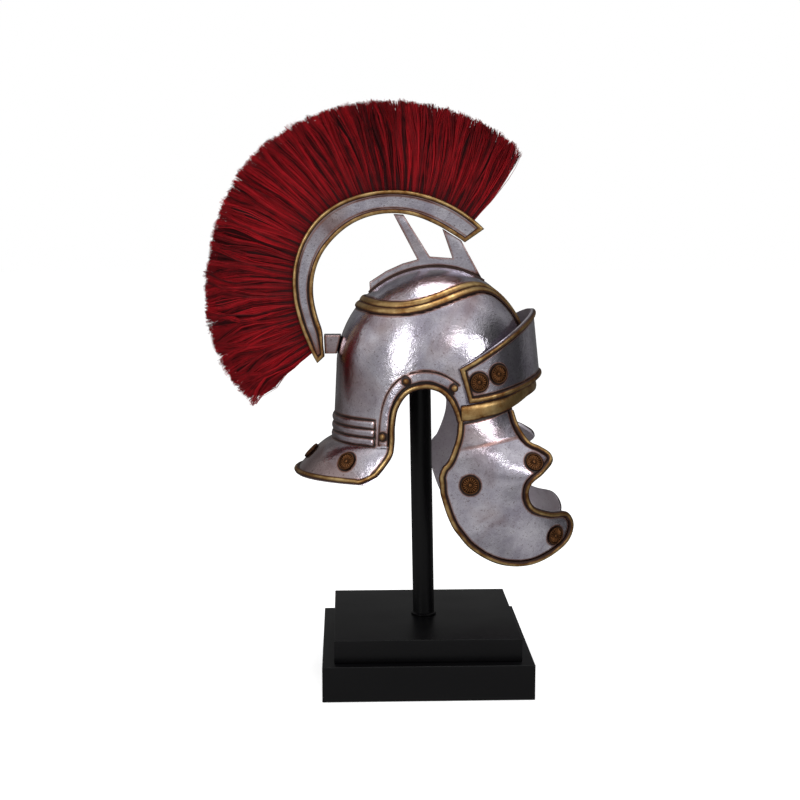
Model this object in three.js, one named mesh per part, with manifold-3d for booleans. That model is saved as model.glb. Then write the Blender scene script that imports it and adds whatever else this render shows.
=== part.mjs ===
// Roman legionary helmet with a hair crest, on its two-step display stand.
// Millimetres, +Z up. The origin is the centre of the stand's underside and the face looks along +X.
// The wearer's right is -Y and the left is +Y. Both sides are mirror images.
import * as THREE from 'three';
import { mergeVertices } from 'three/addons/utils/BufferGeometryUtils.js';
import Module from 'manifold-3d';

const wasm = await Module();
wasm.setup();

// Driving dimensions
const gap = 0.35;
const stand = {
  lowerSide: 250, lowerHeight: 42.5, upperSide: 222, upperHeight: 27.7, edge: 1.5,
  postRadius: 13.2, footRadius: 15.5, footHeight: 3, postLean: -0.018,
};
const bowl = {
  centreX: 14, front: 113, back: 121, halfWidth: 97, equatorZ: 380, height: 122.5,
  flarePerMm: 0.0004, wall: 3, columns: 40,
};
const neck = {
  ribTopZ: 326, ribBottomZ: 295, ribs: 3, ribHeight: 2.4, ribEndX: -61,
  guardZ: 252.5, guardBack: 172, guardHalfWidth: 112, guardCurve: 1.5,
  cornerX: -74, splitX: -20,
};
const frontRim = {
  startX: 35, startZ: 326, slope: 0.1, rise: 0.0017, turnFromX: -34, turnToX: 24,
  browFromX: 101, browToX: 106, browStep: 5.3,
  stripStartX: 41, stripWidth: 19.5, stripNarrowing: 8.5, stripHeight: 2.2, stripSwell: 6,
};
const bead = { width: 6.5, height: 3.4 };
const strip = { width: 11.5, height: 1.6 };
const ridge = { width: 18, height: 2.8, valley: 1.3 };
const brow = {
  centreX: 30, front: 107.5, lean: 0.11, leanZ: 400, halfWidth: 98.6, wall: 3,
  backTopX: 35, backTopZ: 389, topSlope: 0.55, topRise: 0.0009, beadHeight: 2.6,
  backLowX: 46, backLowZ: 348, lowSlope: 0.09, lowRise: 0.0017, columns: 26, beadEnd: 0.019,
};
const cheek = { wall: 3, columns: 6, fromZ: 125, stepZ: 35, fromX: 10, stepX: 55 };
const crest = {
  centreX: -40, centreZ: 470, coreHalf: 10, borderHalf: 13, borderWidth: 5.5,
  hairRootHalf: 7, hairMidHalf: 15, hairTipHalf: 18, backing: 6, sectors: 9, locksPerSector: 4,
};
const rosette = { radius: 10.8, height: 2.4, sides: 12 };
const rivet = { radius: 4.6, height: 2.8, sides: 10 };
const saddle = { half: 5, backX: -66, frontX: 71, footSteps: 14 };
const stay = { lowZ: 398, highZ: 420, half: 13 };

// Opening over the ear, from the corner of the neck guard up and forward to the cheek guard.
const earArch = [
  { x: -80, z: 240 }, { x: -72, z: 254.5 }, { x: -61.6, z: 260.8 }, { x: -49.6, z: 275 },
  { x: -41.4, z: 288 }, { x: -39, z: 302 }, { x: -38.4, z: 322 }, { x: -34.4, z: 342.5 },
  { x: -22.5, z: 359.5 }, { x: -4.4, z: 365.5 }, { x: 12, z: 362 }, { x: 22, z: 353 },
  { x: 28.5, z: 341 }, { x: 33.5, z: 326 },
];
// Middle line of the riveted strip round the ear opening.
const earStrip = [
  { x: -51.6, z: 298 }, { x: -50.6, z: 318 }, { x: -47.6, z: 340 }, { x: -41, z: 358 },
  { x: -29, z: 372 }, { x: -13, z: 379 }, { x: 3, z: 379.8 }, { x: 18, z: 374.5 }, { x: 31.6, z: 365 },
];
const rivetPlaces = [{ x: -51.8, z: 308 }, { x: -25, z: 374.5 }, { x: 29.5, z: 366.5 }];
// Middle line of the crown ridge, by the bowl's own angles in degrees.
const crownLine = [
  { azimuth: 178.5, elevation: 41 }, { azimuth: 160, elevation: 40.5 }, { azimuth: 138, elevation: 38.8 },
  { azimuth: 119, elevation: 38.6 }, { azimuth: 104, elevation: 41 }, { azimuth: 89, elevation: 45.7 },
  { azimuth: 75, elevation: 50 }, { azimuth: 60, elevation: 53.2 }, { azimuth: 46, elevation: 54.2 },
  { azimuth: 34, elevation: 52.6 }, { azimuth: 25, elevation: 48.5 }, { azimuth: 18, elevation: 40 },
  { azimuth: 14, elevation: 29.5 }, { azimuth: 11.5, elevation: 19 }, { azimuth: 10, elevation: 9 },
];
// Cheek guard outline, a row for each section from the bowl's rim down to the jaw.
const cheekSections = [
  { rearX: 34, rearZ: 325.5, frontX: 101, frontZ: 338 },
  { rearX: 33, rearZ: 313, frontX: 106, frontZ: 320 },
  { rearX: 30, rearZ: 301, frontX: 112, frontZ: 309 },
  { rearX: 22, rearZ: 281, frontX: 120, frontZ: 299.5 },
  { rearX: 16, rearZ: 274, frontX: 131, frontZ: 294 },
  { rearX: 13, rearZ: 267, frontX: 144, frontZ: 285 },
  { rearX: 12, rearZ: 262, frontX: 146, frontZ: 277 },
  { rearX: 13, rearZ: 253, frontX: 134, frontZ: 265.5 },
  { rearX: 14, rearZ: 243, frontX: 119.5, frontZ: 255 },
  { rearX: 16.5, rearZ: 234, frontX: 117, frontZ: 243 },
  { rearX: 21, rearZ: 220, frontX: 124, frontZ: 225.5 },
  { rearX: 25, rearZ: 210, frontX: 146, frontZ: 215 },
  { rearX: 30, rearZ: 200, frontX: 168, frontZ: 211 },
  { rearX: 37, rearZ: 190.5, frontX: 177, frontZ: 195 },
  { rearX: 48, rearZ: 177, frontX: 172, frontZ: 176 },
  { rearX: 71, rearZ: 160, frontX: 154, frontZ: 161.5 },
  { rearX: 95, rearZ: 151, frontX: 124, frontZ: 150 },
];
// How far the cheek guard stands out from the middle plane, at four stations along X for each level.
const cheekDepths = [
  { z: 125, x10: 58, x65: 64, x120: 56, x175: 30 },
  { z: 160, x10: 76, x65: 82, x120: 74, x175: 44 },
  { z: 195, x10: 90, x65: 95, x120: 84, x175: 50 },
  { z: 230, x10: 96, x65: 102, x120: 92, x175: 50 },
  { z: 265, x10: 100, x65: 105, x120: 104, x175: 52 },
  { z: 300, x10: 99.5, x65: 97.5, x120: 80, x175: 38 },
  { z: 335, x10: 98.5, x65: 88, x120: 48, x175: -30 },
  { z: 370, x10: 98, x65: 80, x120: 20, x175: -90 },
];
const cheekRosettes = [{ x: 48.7, z: 253.2 }, { x: 123.5, z: 278.5 }, { x: 154.4, z: 183.4 }];
const browRosettes = [{ x: 58.5, z: 373 }, { x: 82, z: 381.5 }];
const guardRosettes = [{ azimuth: 180, z: 277 }, { azimuth: 136, z: 277 }, { azimuth: -136, z: 277 }];
// Side view of the saddle plate's upper edge, from the front. Where z is left out it meets the crest.
const saddleTop = [
  { x: 44 }, { x: 32 }, { x: 21.5 }, { x: 34, z: 512 }, { x: 6.5, z: 514 }, { x: -25.5 }, { x: -37.5 },
  { x: -8.5, z: 510.5 }, { x: -26.5, z: 505.5 }, { x: -46.5, z: 496.5 }, { x: -66.5, z: 483.5 },
];
// The crest from its front tip over the top and down behind, by the angle about its own centre.
const crestSpokes = [
  { angle: 34.8, inner: 107.5, outer: 135.5, hair: 230 },
  { angle: 45, inner: 101.5, outer: 131.5, hair: 231 },
  { angle: 60, inner: 97.5, outer: 127, hair: 231 },
  { angle: 75, inner: 96.5, outer: 124.5, hair: 229 },
  { angle: 90, inner: 96, outer: 123.5, hair: 229 },
  { angle: 105, inner: 96, outer: 124, hair: 231 },
  { angle: 120, inner: 96, outer: 126, hair: 232 },
  { angle: 135, inner: 95.5, outer: 127, hair: 234 },
  { angle: 150, inner: 96, outer: 125, hair: 229.5 },
  { angle: 165, inner: 95.5, outer: 122, hair: 225 },
  { angle: 180, inner: 94.5, outer: 118.5, hair: 224.5 },
  { angle: 195, inner: 93.5, outer: 116.3, hair: 224.5 },
  { angle: 210, inner: 95, outer: 117.5, hair: 220.5 },
  { angle: 223, inner: 111, outer: 123, hair: 212 },
];
const hairLean = { frontAngle: 40.5, frontTip: 48.3, backAngle: 217.5, backTip: 216.4 };

// Materials
const silver = { color: 0xb9b3bd, roughness: 0.32, metalness: 0.9 };
const gold = { color: 0xb98c42, roughness: 0.38, metalness: 0.9 };
const bronze = { color: 0x6b4322, roughness: 0.55, metalness: 0.7 };
const hairRed = { color: 0x8e0f18, roughness: 0.7, metalness: 0 };
const black = { color: 0x17151a, roughness: 0.42, metalness: 0 };

const helmet = new THREE.Group();

function addPiece(name, geometry, finish) {
  const mesh = new THREE.Mesh(geometry, new THREE.MeshStandardMaterial(finish));
  mesh.name = name;
  helmet.add(mesh);
  return mesh;
}

// Geometry helpers
function closedGeometry(points, triangles) {
  const geometry = new THREE.BufferGeometry();
  const places = points.flatMap((point) => point.toArray());
  geometry.setAttribute('position', new THREE.Float32BufferAttribute(places, 3));
  let volume = 0;
  const cross = new THREE.Vector3();
  for (const [a, b, c] of triangles) {
    volume += points[a].dot(cross.crossVectors(points[b], points[c]));
  }
  const outward = volume > 0 ? triangles : triangles.map(([a, b, c]) => [a, c, b]);
  geometry.setIndex(outward.flat());
  geometry.computeVertexNormals();
  return geometry;
}

// Skin over a stack of rings with as many points each. Both ends are closed in a zigzag, which also
// fits the thin curved end of a plate.
function skin(rings) {
  const count = rings[0].length;
  const triangles = [];
  for (let row = 0; row + 1 < rings.length; row += 1) {
    for (let i = 0; i < count; i += 1) {
      const next = (i + 1) % count;
      const [a, b] = [row * count + i, row * count + next];
      triangles.push([a, b, b + count], [a, b + count, a + count]);
    }
  }
  const lastRow = (rings.length - 1) * count;
  for (let i = 0; 2 * i + 2 < count; i += 1) {
    const [a, b, c, d] = [i, i + 1, count - 2 - i, count - 1 - i];
    triangles.push([a, c, b], [a, d, c]);
    triangles.push([lastRow + a, lastRow + b, lastRow + c], [lastRow + a, lastRow + c, lastRow + d]);
  }
  const solidTriangles = triangles.filter(([a, b, c]) => a !== b && b !== c && a !== c);
  return closedGeometry(rings.flat(), solidTriangles);
}

// Sweep of a section along a path that lies on a surface. A section point is [across, lift].
function sweep(path, sectionAt) {
  const rings = path.map(({ point, normal }, i) => {
    const before = path[Math.max(i - 1, 0)].point;
    const after = path[Math.min(i + 1, path.length - 1)].point;
    const along = after.clone().sub(before).normalize();
    const across = new THREE.Vector3().crossVectors(normal, along).normalize();
    return sectionAt(i / (path.length - 1)).map(([b, n]) => (
      point.clone().addScaledVector(across, b).addScaledVector(normal, n)
    ));
  });
  return skin(rings);
}

// Half-round bead whose outer edge runs on the path: side is +1 or -1, the way the bead lies from it.
function beadSection(side, lift) {
  const places = [[0, 0], [0.22, bead.height], [0.78, bead.height], [1, 0]];
  return () => places.map(([b, n]) => [side * bead.width * b, lift + n]);
}

function flatSection(width, height, lift) {
  const half = width / 2;
  const shoulder = half - height * 0.6;
  return () => [[-half, lift], [-shoulder, lift + height], [shoulder, lift + height], [half, lift]];
}

function smoothLine(points, steps) {
  return new THREE.CatmullRomCurve3(points, false, 'centripetal').getSpacedPoints(steps);
}

// Side view extruded across the middle plane
function extrudeAcross(shape, half) {
  const geometry = new THREE.ExtrudeGeometry(shape, { depth: 2 * half, bevelEnabled: false, steps: 1 });
  geometry.rotateX(Math.PI / 2);
  geometry.translate(0, half, 0);
  return geometry;
}

function toManifold(geometry) {
  const bare = geometry.clone();
  bare.deleteAttribute('normal');
  bare.deleteAttribute('uv');
  const merged = mergeVertices(bare, 1e-4);
  return new wasm.Manifold(new wasm.Mesh({
    numProp: 3,
    vertProperties: merged.attributes.position.array,
    triVerts: new Uint32Array(merged.index.array),
  }));
}

function fromManifold(solid) {
  const mesh = solid.getMesh();
  const geometry = new THREE.BufferGeometry();
  geometry.setAttribute('position', new THREE.BufferAttribute(new Float32Array(mesh.vertProperties), 3));
  geometry.setIndex([...mesh.triVerts]);
  return geometry;
}

const radians = (degrees) => THREE.MathUtils.degToRad(degrees);
const mirrored = (geometry) => {
  const copy = geometry.clone();
  const place = copy.attributes.position;
  for (let i = 0; i < place.count; i += 1) {
    place.setY(i, -place.getY(i));
  }
  const turned = [];
  for (let i = 0; i < copy.index.count; i += 3) {
    turned.push(copy.index.getX(i), copy.index.getX(i + 2), copy.index.getX(i + 1));
  }
  copy.setIndex(turned);
  return copy;
};

// The bowl's outer surface. Half spans to the front, back and side at a level.
function spansAt(z) {
  if (z >= bowl.equatorZ) {
    const up = Math.min((z - bowl.equatorZ) / bowl.height, 1);
    const scale = Math.sqrt(1 - up * up);
    return { front: bowl.front * scale, back: bowl.back * scale, side: bowl.halfWidth * scale };
  }
  const level = Math.max(z, neck.ribBottomZ);
  const scale = 1 + bowl.flarePerMm * (bowl.equatorZ - level);
  const spans = { front: bowl.front * scale, back: bowl.back * scale, side: bowl.halfWidth * scale };
  if (z < neck.ribBottomZ) {
    const down = (neck.ribBottomZ - z) / (neck.ribBottomZ - neck.guardZ);
    const out = down ** (1 / neck.guardCurve);
    spans.back += (neck.guardBack - spans.back) * out;
    spans.side += (neck.guardHalfWidth - spans.side) * out;
  }
  return spans;
}

// A level runs 0 to 1 from the crown to the equator, and then 1 more for each 100 mm down.
const levelAt = (z) => (z >= bowl.equatorZ
  ? 1 - Math.asin(Math.min((z - bowl.equatorZ) / bowl.height, 1)) / (Math.PI / 2)
  : 1 + (bowl.equatorZ - z) / 100);
const heightAt = (level) => (level <= 1
  ? bowl.equatorZ + bowl.height * Math.sin((1 - level) * Math.PI / 2)
  : bowl.equatorZ - (level - 1) * 100);

function barePoint(azimuth, level) {
  const z = heightAt(level);
  const spans = spansAt(z);
  const along = Math.cos(azimuth) > 0 ? spans.front : spans.back;
  return new THREE.Vector3(bowl.centreX + along * Math.cos(azimuth), spans.side * Math.sin(azimuth), z);
}

function bowlNormal(azimuth, level) {
  const step = 1e-3;
  const round = barePoint(azimuth + step, level).sub(barePoint(azimuth - step, level));
  const down = barePoint(azimuth, level + step).sub(barePoint(azimuth, level - step));
  const normal = new THREE.Vector3().crossVectors(down, round).normalize();
  return normal;
}

function bowlPlace(azimuth, level) {
  return { point: barePoint(azimuth, level), normal: bowlNormal(azimuth, level) };
}

// Place on the bowl's right side, seen square on at x and z.
function sidePlace({ x, z }) {
  const spans = spansAt(z);
  const along = x > bowl.centreX ? spans.front : spans.back;
  const cosine = THREE.MathUtils.clamp((x - bowl.centreX) / along, -1, 1);
  return bowlPlace(-Math.acos(cosine), levelAt(z));
}

// The front rim steps up over the brow, just ahead of the cheek guard.
const frontRimZ = (x) => {
  const ahead = Math.max(x - frontRim.startX, 0);
  const step = frontRim.browStep * THREE.MathUtils.smoothstep(x, frontRim.browFromX, frontRim.browToX);
  return frontRim.startZ + frontRim.slope * ahead + frontRim.rise * ahead * ahead + step;
};

function rimZ(azimuth) {
  const x = bowl.centreX + (Math.cos(azimuth) > 0 ? bowl.front : bowl.back) * Math.cos(azimuth);
  if (x >= frontRim.turnToX) {
    return frontRimZ(x);
  }
  const towardFront = THREE.MathUtils.smoothstep(x, frontRim.turnFromX, frontRim.turnToX);
  return neck.guardZ + (frontRim.startZ - neck.guardZ) * towardFront;
}

function ribLift(x, z) {
  if (z > neck.ribTopZ || z < neck.ribBottomZ || x > neck.ribEndX) {
    return 0;
  }
  const turn = (neck.ribTopZ - z) / (neck.ribTopZ - neck.ribBottomZ) * neck.ribs;
  return neck.ribHeight * Math.abs(Math.sin(Math.PI * turn));
}

// Helmet bowl, made as one shell and then parted at the top of the neck ribs into the dome and the neck
function bowlRing(levelOf, lift, withRibs) {
  return Array.from({ length: bowl.columns }, (_, i) => {
    const azimuth = (i + 0.5) / bowl.columns * 2 * Math.PI;
    const level = levelOf(azimuth);
    const { point, normal } = bowlPlace(azimuth, level);
    const rib = withRibs ? ribLift(point.x, point.z) : 0;
    return point.addScaledVector(normal, lift + rib);
  });
}

function helmetBowl() {
  const dome = [0.07, 0.22, 0.37, 0.53, 0.68, 0.84, 1];
  const below = (share) => (azimuth) => levelAt(bowl.equatorZ - share * (bowl.equatorZ - rimZ(azimuth)));
  const shareAt = (z) => (bowl.equatorZ - z) / (bowl.equatorZ - neck.guardZ);
  const ribPitch = (neck.ribTopZ - neck.ribBottomZ) / neck.ribs;
  const ribLevels = Array.from({ length: 2 * neck.ribs + 1 }, (_, i) => neck.ribTopZ - i * ribPitch / 2);
  const outerWall = [352, ...ribLevels, 283, 270.5].map(shareAt);
  const innerWall = [340, neck.ribBottomZ, 277].map(shareAt);
  const rings = dome.map((level) => bowlRing(() => level, 0, false));
  rings.push(...outerWall.map((share) => bowlRing(below(share), 0, true)));
  rings.push(bowlRing(below(1), 0, false), bowlRing(below(1), -bowl.wall, false));
  rings.push(...innerWall.reverse().map((share) => bowlRing(below(share), -bowl.wall, false)));
  rings.push(...dome.slice().reverse().map((level) => bowlRing(() => level, -bowl.wall, false)));
  const outline = new THREE.Shape();
  const arch = smoothLine(earArch.map(({ x, z }) => new THREE.Vector3(x, z, 0)), 26);
  outline.moveTo(arch[0].x, arch[0].y);
  arch.slice(1).forEach((place) => outline.lineTo(place.x, place.y));
  outline.lineTo(arch[arch.length - 1].x, arch[0].y);
  const shell = toManifold(skin(rings)).subtract(toManifold(extrudeAcross(outline, 1.5 * bowl.halfWidth)));
  const rear = new THREE.BoxGeometry(neck.guardBack, 3 * bowl.halfWidth, 2 * (neck.ribTopZ - neck.guardZ));
  rear.translate(neck.splitX - neck.guardBack / 2, 0, neck.guardZ);
  return [shell.subtract(toManifold(rear)), shell.intersect(toManifold(rear))].map(fromManifold);
}

// Gold bead round the ear openings and the neck guard, in one run from cheek guard to cheek guard
function rimEdging() {
  const archPoints = earArch.slice(2).reverse();
  const rightArch = smoothLine(archPoints.map(({ x, z }) => new THREE.Vector3(x, 0, z)), 17);
  const guardLevel = levelAt(neck.guardZ + 0.5);
  const cornerAngle = Math.acos((neck.cornerX - bowl.centreX) / neck.guardBack);
  const guardSteps = 9;
  const path = rightArch.map(({ x, z }) => sidePlace({ x, z }));
  for (let i = 0; i < guardSteps; i += 1) {
    const azimuth = -cornerAngle - (Math.PI - cornerAngle) * (i / guardSteps);
    path.push(bowlPlace(azimuth, guardLevel));
  }
  path.push(bowlPlace(Math.PI, guardLevel));
  const left = path.slice(0, -1).reverse().map(({ point, normal }) => ({
    point: new THREE.Vector3(point.x, -point.y, point.z),
    normal: new THREE.Vector3(normal.x, -normal.y, normal.z),
  }));
  return sweep([...path, ...left], beadSection(-1, gap));
}

// Gold strip round the front rim under the brow guard
function frontRimStrip() {
  const steps = 26;
  const startAngle = Math.acos((frontRim.stripStartX - bowl.centreX) / bowl.front);
  const path = Array.from({ length: steps + 1 }, (_, i) => {
    const azimuth = startAngle * (2 * i / steps - 1);
    return bowlPlace(azimuth, levelAt(rimZ(azimuth)));
  });
  return sweep(path, (share) => {
    const ahead = Math.sin(Math.PI * share);
    const width = frontRim.stripWidth - frontRim.stripNarrowing * ahead * ahead;
    const height = frontRim.stripHeight + frontRim.stripSwell * ahead * ahead;
    return [[0, gap], [0.5, gap + height], [width - 1, gap + height], [width, gap]];
  });
}

function earStripGeometry() {
  const line = smoothLine(earStrip.map(({ x, z }) => new THREE.Vector3(x, 0, z)), 18);
  return sweep(line.map(({ x, z }) => sidePlace({ x, z })), flatSection(strip.width, strip.height, 2 * gap));
}

function crownRidgeGeometry() {
  const angles = crownLine.map(({ azimuth, elevation }) => new THREE.Vector3(azimuth, elevation, 0));
  const path = smoothLine(angles, 26).map((place) => bowlPlace(-radians(place.x), 1 - place.y / 90));
  return sweep(path, (share) => {
    const narrow = 1 - 0.42 * THREE.MathUtils.smoothstep(share, 0.66, 0.95);
    const half = ridge.width / 2 * narrow;
    const top = gap + ridge.height;
    return [[-half, gap], [-half * 0.55, top], [0, gap + ridge.valley], [half * 0.55, top], [half, gap]];
  });
}

// Dished rosette and domed rivet, each lying flat on its place
function roundPiece(profile, sides) {
  const lathe = new THREE.LatheGeometry(profile.map(([r, h]) => new THREE.Vector2(r, h)), sides);
  lathe.rotateX(Math.PI / 2);
  lathe.deleteAttribute('normal');
  lathe.deleteAttribute('uv');
  return mergeVertices(lathe, 1e-4);
}

function seat(geometry, { point, normal }, lift) {
  const piece = geometry.clone();
  piece.applyQuaternion(new THREE.Quaternion().setFromUnitVectors(new THREE.Vector3(0, 0, 1), normal));
  piece.translate(...point.clone().addScaledVector(normal, lift).toArray());
  return piece;
}

const rosetteBlank = () => roundPiece([
  [0, 0], [rosette.radius, 0], [rosette.radius - 1.8, rosette.height], [0, rosette.height * 0.7],
], rosette.sides);
const rivetBlank = () => roundPiece([
  [0, 0], [rivet.radius, 0], [rivet.radius * 0.72, rivet.height * 0.72], [0, rivet.height],
], rivet.sides);

// Brow guard: an upright plate round the forehead, cut by a sloping line above and below
const browTopZ = (x) => {
  const ahead = Math.max(x - brow.backTopX, 0);
  return brow.backTopZ + brow.topSlope * ahead + brow.topRise * ahead * ahead;
};
const browLowZ = (x) => {
  const ahead = Math.max(x - brow.backLowX, 0);
  return brow.backLowZ + brow.lowSlope * ahead + brow.lowRise * ahead * ahead;
};

function browPoint(azimuth, z, inset) {
  const front = brow.front + brow.lean * (brow.leanZ - z) - inset;
  const side = brow.halfWidth - inset;
  return new THREE.Vector3(brow.centreX + front * Math.cos(azimuth), side * Math.sin(azimuth), z);
}

function browEdge(azimuth, edgeZ) {
  let z = brow.leanZ;
  for (let round = 0; round < 8; round += 1) {
    z = edgeZ(browPoint(azimuth, z, 0).x);
  }
  return z;
}

// The end of the plate slopes, so that its lower corner lies a little further forward.
const browTopEnd = Math.acos((brow.backTopX - brow.centreX) / brow.front);
const browLowEnd = Math.acos((brow.backLowX - brow.centreX) / brow.front);

function browStation(share, up) {
  const lowAngle = browLowEnd * (2 * share - 1);
  const topAngle = browTopEnd * (2 * share - 1);
  const azimuth = lowAngle + (topAngle - lowAngle) * up;
  const low = browEdge(azimuth, browLowZ);
  const z = low + (browEdge(azimuth, browTopZ) - low) * up;
  return { azimuth, z };
}

function browSurface({ azimuth, z }) {
  const front = brow.front + brow.lean * (brow.leanZ - z);
  const normal = new THREE.Vector3(
    Math.cos(azimuth) / front, Math.sin(azimuth) / brow.halfWidth, brow.lean * Math.cos(azimuth) / front,
  );
  return { point: browPoint(azimuth, z, 0), normal: normal.normalize() };
}

const browPlace = (share, up) => browSurface(browStation(share, up));

function browGuard() {
  const levels = [0, 0.5, 1];
  const rings = Array.from({ length: brow.columns + 1 }, (_, i) => {
    const share = i / brow.columns;
    const outer = levels.map((up) => browStation(share, up));
    return [
      ...outer.map(({ azimuth, z }) => browPoint(azimuth, z, 0)),
      ...outer.reverse().map(({ azimuth, z }) => browPoint(azimuth, z, brow.wall)),
    ];
  });
  return skin(rings);
}

// Bead round the brow guard: along the foot, up the left end, back along the top and down the right end
function browEdging() {
  const steps = 24;
  const frame = [];
  for (let i = 0; i <= steps; i += 1) {
    frame.push([i / steps, 0]);
  }
  frame.push([1, 0.5]);
  for (let i = steps; i >= 0; i -= 1) {
    frame.push([i / steps, 1]);
  }
  frame.push([0, 0.5]);
  const places = frame.map(([share, up]) => browPlace(share, up));
  const inside = frame.map(([share, up]) => {
    const height = browPlace(share, 1).point.distanceTo(browPlace(share, 0).point);
    const rim = bead.width / height;
    const upInside = THREE.MathUtils.clamp(up, rim, 1 - rim);
    return browPlace(THREE.MathUtils.clamp(share, brow.beadEnd, 1 - brow.beadEnd), upInside);
  });
  const rings = places.map(({ point, normal }, i) => {
    const far = inside[i];
    const lifted = (share, lift) => point.clone().lerp(far.point, share).addScaledVector(normal, lift);
    const top = gap + brow.beadHeight;
    return [lifted(0, gap), lifted(0.15, top), lifted(0.75, top), lifted(1, gap)];
  });
  return ringLoop(rings);
}

// Skin over rings that close on themselves
function ringLoop(rings) {
  const count = rings[0].length;
  const triangles = [];
  rings.forEach((_, row) => {
    const nextRow = (row + 1) % rings.length;
    for (let i = 0; i < count; i += 1) {
      const next = (i + 1) % count;
      const [a, b, c, d] = [row * count + i, row * count + next, nextRow * count + next, nextRow * count + i];
      triangles.push([a, b, c], [a, c, d]);
    }
  });
  return closedGeometry(rings.flat(), triangles);
}

// Cheek guard
function splineAt(values, place) {
  const last = values.length - 1;
  const index = THREE.MathUtils.clamp(Math.floor(place), 0, last - 1);
  const t = place - index;
  const pick = (i) => values[THREE.MathUtils.clamp(i, 0, last)];
  const [a, b, c, d] = [pick(index - 1), pick(index), pick(index + 1), pick(index + 2)];
  return 0.5 * (2 * b + (c - a) * t + (2 * a - 5 * b + 4 * c - d) * t * t + (3 * b - a - 3 * c + d) * t ** 3);
}

function cheekDepth(x, z) {
  const row = (z - cheek.fromZ) / cheek.stepZ;
  const stations = ['x10', 'x65', 'x120', 'x175'];
  const at = stations.map((key) => splineAt(cheekDepths.map((level) => level[key]), row));
  const t = (x - cheek.fromX) / cheek.stepX;
  const [first, second, third] = [at[1] - at[0], at[2] - at[1], at[3] - at[2]];
  const bend = second - first;
  const twist = third - second - bend;
  return at[0] + first * t + bend * t * (t - 1) / 2 + twist * t * (t - 1) * (t - 2) / 6;
}

function cheekPlace(x, z) {
  const step = 0.5;
  const slopeX = (cheekDepth(x + step, z) - cheekDepth(x - step, z)) / (2 * step);
  const slopeZ = (cheekDepth(x, z + step) - cheekDepth(x, z - step)) / (2 * step);
  const normal = new THREE.Vector3(-slopeX, -1, -slopeZ).normalize();
  return { point: new THREE.Vector3(x, -cheekDepth(x, z), z), normal };
}

function cheekGuardGeometry() {
  const rings = cheekSections.map(({ rearX, rearZ, frontX, frontZ }, row) => {
    const places = Array.from({ length: cheek.columns + 1 }, (_, i) => {
      const share = i / cheek.columns;
      const x = rearX + (frontX - rearX) * share;
      const z = row === 0 ? frontRimZ(x) - 2.5 * gap : rearZ + (frontZ - rearZ) * share;
      return cheekPlace(x, z);
    });
    const inner = places.map(({ point, normal }) => point.clone().addScaledVector(normal, -cheek.wall));
    return [...places.map(({ point }) => point), ...inner.reverse()];
  });
  return skin(rings);
}

function cheekEdging() {
  const front = cheekSections.map(({ frontX, frontZ }) => new THREE.Vector3(frontX, 0, frontZ));
  const rear = cheekSections.map(({ rearX, rearZ }) => new THREE.Vector3(rearX, 0, rearZ)).reverse();
  front[0].z -= 3;
  rear[rear.length - 1].z -= 1;
  const line = smoothLine([...front, ...rear], 50);
  return sweep(line.map(({ x, z }) => cheekPlace(x, z)), beadSection(-1, 2.5 * gap));
}

// Crest
function spoke(key, angle) {
  const last = crestSpokes.length - 1;
  let index = 0;
  while (index < last - 1 && crestSpokes[index + 1].angle < angle) {
    index += 1;
  }
  const [from, to] = [crestSpokes[index], crestSpokes[index + 1]];
  const share = (angle - from.angle) / (to.angle - from.angle);
  return from[key] + (to[key] - from[key]) * share;
}

function crestPoint(angle, radius) {
  const turn = radians(angle);
  return new THREE.Vector2(crest.centreX + radius * Math.cos(turn), crest.centreZ + radius * Math.sin(turn));
}

function crestOutline(inset) {
  const angles = crestSpokes.map(({ angle }) => angle);
  const steps = 18;
  const [start, end] = [angles[0], angles[angles.length - 1]];
  const lean = inset * 0.5;
  const outer = [];
  const inner = [];
  for (let i = 0; i <= steps; i += 1) {
    const angle = start + lean + (end - start - 2 * lean) * i / steps;
    outer.push(crestPoint(angle, spoke('outer', angle) - inset));
    inner.push(crestPoint(angle, spoke('inner', angle) + inset));
  }
  return [...outer, ...inner.reverse()];
}

function crestBorder() {
  const shape = new THREE.Shape(crestOutline(0));
  shape.holes.push(new THREE.Path(crestOutline(crest.borderWidth)));
  const geometry = new THREE.ExtrudeGeometry(shape, {
    depth: crest.borderHalf - crest.coreHalf, bevelEnabled: false, steps: 1,
  });
  geometry.rotateX(Math.PI / 2);
  return geometry;
}

// Hair: each sector is a backing band with locks fused to it. The locks lean with the brush.
function hairTipAngle(rootAngle) {
  const share = (rootAngle - hairLean.frontAngle) / (hairLean.backAngle - hairLean.frontAngle);
  return hairLean.frontTip + (hairLean.backTip - hairLean.frontTip) * share;
}

function hairPlace(rootAngle, share) {
  const angle = rootAngle + (hairTipAngle(rootAngle) - rootAngle) * share;
  const root = spoke('outer', rootAngle) + gap;
  const radius = root + (spoke('hair', hairTipAngle(rootAngle)) - root) * share;
  return crestPoint(angle, radius);
}

function hairBlock(fromAngle, toAngle, sections) {
  const rings = sections.map(({ share, half, squeeze }) => {
    const middle = (fromAngle + toAngle) / 2;
    const reach = (toAngle - fromAngle) / 2 * squeeze;
    const [a, centre, b] = [-reach, 0, reach].map((turn) => hairPlace(middle + turn, share));
    return [
      new THREE.Vector3(a.x, -half * 0.45, a.y), new THREE.Vector3(centre.x, -half, centre.y),
      new THREE.Vector3(b.x, -half * 0.45, b.y), new THREE.Vector3(b.x, half * 0.45, b.y),
      new THREE.Vector3(centre.x, half, centre.y), new THREE.Vector3(a.x, half * 0.45, a.y),
    ];
  });
  return skin(rings);
}

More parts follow.
